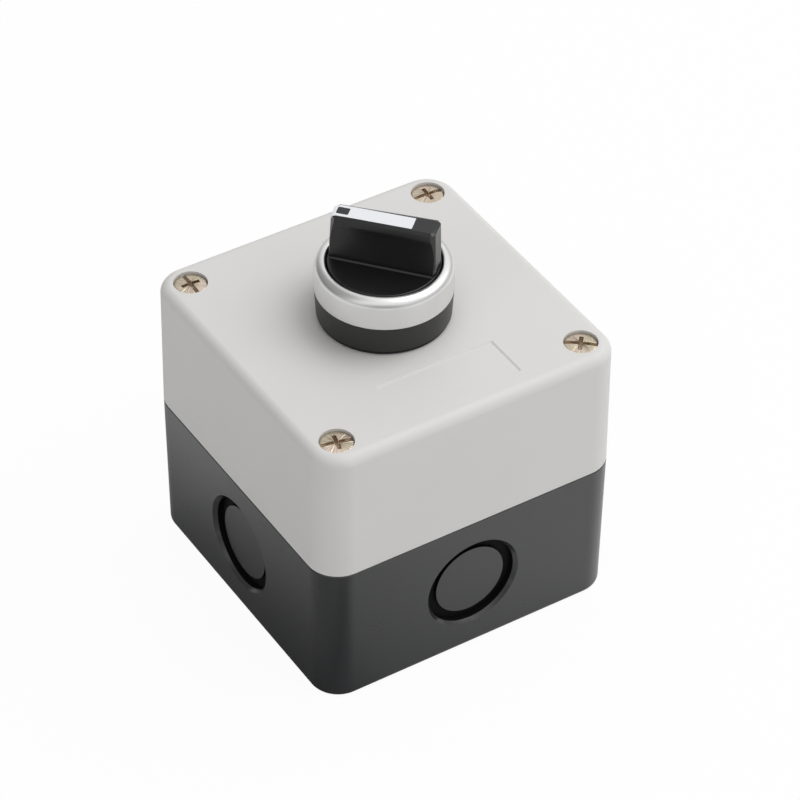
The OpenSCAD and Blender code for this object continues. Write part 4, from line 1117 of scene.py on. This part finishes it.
class STATION_OT_stage(StationOperator):
    """Floor, lamp, room light and the camera"""

    bl_idname = "station.stage"
    bl_label = "Stage"

    # Direction of each dark part of the room, the cosines between which it deepens, and
    # the share of light that is left in its middle
    dark_parts = (
        ((0, 0, -1), -0.55, -0.15, 0.55),
        ((-0.57, 0.6, 0.55), 0.62, 0.9, 0.35),
        ((-0.52, -0.82, 0.24), 0.85, 0.96, 0.6),
    )
    # Centre of the shadow painted on the floor that gloss sees, and the line along the left
    # side where that painted shadow is dark
    shadow_centre, shadow_line = Vector((-62, -45, 0)) * MM, -37 * MM
    # For each, the distances between which the light comes back out of the painted shadow, and
    # the least light in it
    shadow_fade, line_fade = (5 * MM, 90 * MM, 0.36), (0.0, 20 * MM, 0.5)
    # Places in metres
    floor_half, lamp_place, lamp_side = 6.0, (0.48, -0.15, 0.9), 0.7
    lamp_target = Vector((0, 0, 0.04))
    # Yaw, pitch and roll of the camera in degrees, and its place
    camera_angles = (32.4723, 40.8090, 0.5960)
    camera_place = Vector((-318.488, -506.996, 558.893)) * MM

    def build(self, size):
        scene = bpy.context.scene
        stage = scene.station_stage
        self.floor(stage)
        self.room(scene, stage)
        self.lamp(stage)
        self.camera(scene, stage)
        scene.view_settings.view_transform = "Standard"

    def floor(self, stage):
        half = self.floor_half
        mesh = bpy.data.meshes.new("floor")
        corners = [(-half, -half, 0), (half, -half, 0), (half, half, 0), (-half, half, 0)]
        mesh.from_pydata(corners, [], [(0, 1, 2, 3)])
        material = bpy.data.materials.new("Floor")
        tree = empty_nodes(material)
        rays = put(tree, "ShaderNodeLightPath").outputs
        # Painted shadow: gloss sees the floor darkened round the object
        shadow_tone = self.painted_floor_shadow(tree, rays["Is Glossy Ray"])
        colour = blend_colours(tree, shadow_tone, (0, 0, 0, 1), (*stage.floor, 1.0))
        matt = result(tree, "ShaderNodeBsdfDiffuse", {"Color": colour})
        glow = result(tree, "ShaderNodeEmission", {"Strength": shadow_tone})
        shiny = maths(tree, "MAXIMUM", rays["Is Glossy Ray"], rays["Is Transmission Ray"])
        straight = maths(tree, "MULTIPLY", rays["Is Camera Ray"], stage.backdrop)
        mirrored = maths(tree, "MULTIPLY", shiny, stage.mirrored)
        share = maths(tree, "MAXIMUM", straight, mirrored)
        mixed = result(tree, "ShaderNodeMixShader", {0: share, 1: matt, 2: glow})
        put(tree, "ShaderNodeOutputMaterial", {"Surface": mixed})
        mesh.materials.append(material)
        floor = new_object("floor", mesh)

    def painted_floor_shadow(self, tree, glossy):
        """Share of the floor's light that gloss sees: less in a shadow of the object painted
        round a point at its front left and along its left side.
        """
        place = put(tree, "ShaderNodeTexCoord").outputs["Object"]
        away = vector_maths(tree, "DISTANCE", place, self.shadow_centre)
        across = maths(tree, "SUBTRACT", split(tree, place)[0], self.shadow_line)
        dim = ramp(tree, away, *self.shadow_fade)
        line = ramp(tree, maths(tree, "ABSOLUTE", across), *self.line_fade)
        shadow_tone = maths(tree, "MULTIPLY", dim, line)
        lost = maths(tree, "MULTIPLY", glossy, maths(tree, "SUBTRACT", 1.0, shadow_tone))
        return maths(tree, "SUBTRACT", 1.0, lost)

    def room(self, scene, stage):
        """Even light from all round, with darker parts where the studio had no light."""
        scene.world = bpy.data.worlds.new("Room")
        tree = empty_nodes(scene.world)
        place = put(tree, "ShaderNodeTexCoord").outputs["Generated"]
        level = stage.sky
        for direction, start, full, share in self.dark_parts:
            nearness = vector_maths(tree, "DOT_PRODUCT", place, Vector(direction).normalized())
            left = ramp(tree, nearness, start, full, 1.0, share)
            level = maths(tree, "MULTIPLY", level, left)
        white = {"Color": (1, 1, 1, 1), "Strength": 1.0}
        soft = result(tree, "ShaderNodeBackground", {**white, "Strength": level})
        seen = result(tree, "ShaderNodeBackground", white)
        straight = put(tree, "ShaderNodeLightPath").outputs["Is Camera Ray"]
        mixed = result(tree, "ShaderNodeMixShader", {0: straight, 1: soft, 2: seen})
        put(tree, "ShaderNodeOutputWorld", {"Surface": mixed})

    def lamp(self, stage):
        data = bpy.data.lights.new("Key", "AREA")
        data.shape = "SQUARE"
        data.size = self.lamp_side
        data.energy = stage.key
        lamp = new_object("Key", data)
        lamp.location = self.lamp_place
        aim = self.lamp_target - lamp.location
        lamp.rotation_euler = aim.to_track_quat("-Z", "Y").to_euler()

    def camera(self, scene, stage):
        yaw, pitch, roll = (math.radians(angle) for angle in self.camera_angles)
        data = bpy.data.cameras.new("Camera")
        data.lens = stage.lens
        data.sensor_width = 36.0
        data.clip_start, data.clip_end = 0.02, 30.0
        scene.camera = new_object("Camera", data)
        scene.camera.matrix_world = (
            Matrix.Translation(self.camera_place)
            @ Matrix.Rotation(-yaw, 4, "Z")
            @ Matrix.Rotation(math.pi / 2 - pitch, 4, "X")
            @ Matrix.Rotation(roll, 4, "Z")
        )


class STATION_PT_build(bpy.types.Panel):
    """Lists the building steps and their settings"""

    bl_idname = "STATION_PT_build"
    bl_label = "Control station"
    bl_space_type = "VIEW_3D"
    bl_region_type = "UI"
    bl_category = "Station"

    def draw(self, context):
        scene = context.scene
        for step in STEPS:
            self.layout.operator(step.bl_idname)
        for group in (scene.station_sizes, scene.station_colours, scene.station_stage):
            column = self.layout.column()
            for key in group.__annotations__:
                column.prop(group, key)


GROUPS = {
    "station_colours": StationColours,
    "station_sizes": StationSizes,
    "station_stage": StationStage,
}
STEPS = (
    STATION_OT_base,
    STATION_OT_lid,
    STATION_OT_lid_screws,
    STATION_OT_collar,
    STATION_OT_bezel,
    STATION_OT_knob,
    STATION_OT_seals,
    STATION_OT_fixings,
    STATION_OT_detent,
    STATION_OT_springs,
    STATION_OT_blocks,
    STATION_OT_terminals,
    STATION_OT_stage,
)


def register():
    for kind in (*GROUPS.values(), *STEPS, STATION_PT_build):
        bpy.utils.register_class(kind)
    for name, kind in GROUPS.items():
        setattr(bpy.types.Scene, name, bpy.props.PointerProperty(type=kind))


def unregister():
    for name in GROUPS:
        delattr(bpy.types.Scene, name)
    for kind in (STATION_PT_build, *reversed(STEPS), *GROUPS.values()):
        bpy.utils.unregister_class(kind)


def main():
    register()
    for step in STEPS:
        group, name = step.bl_idname.split(".")
        getattr(getattr(bpy.ops, group), name)()


if __name__ == "__main__":
    main()
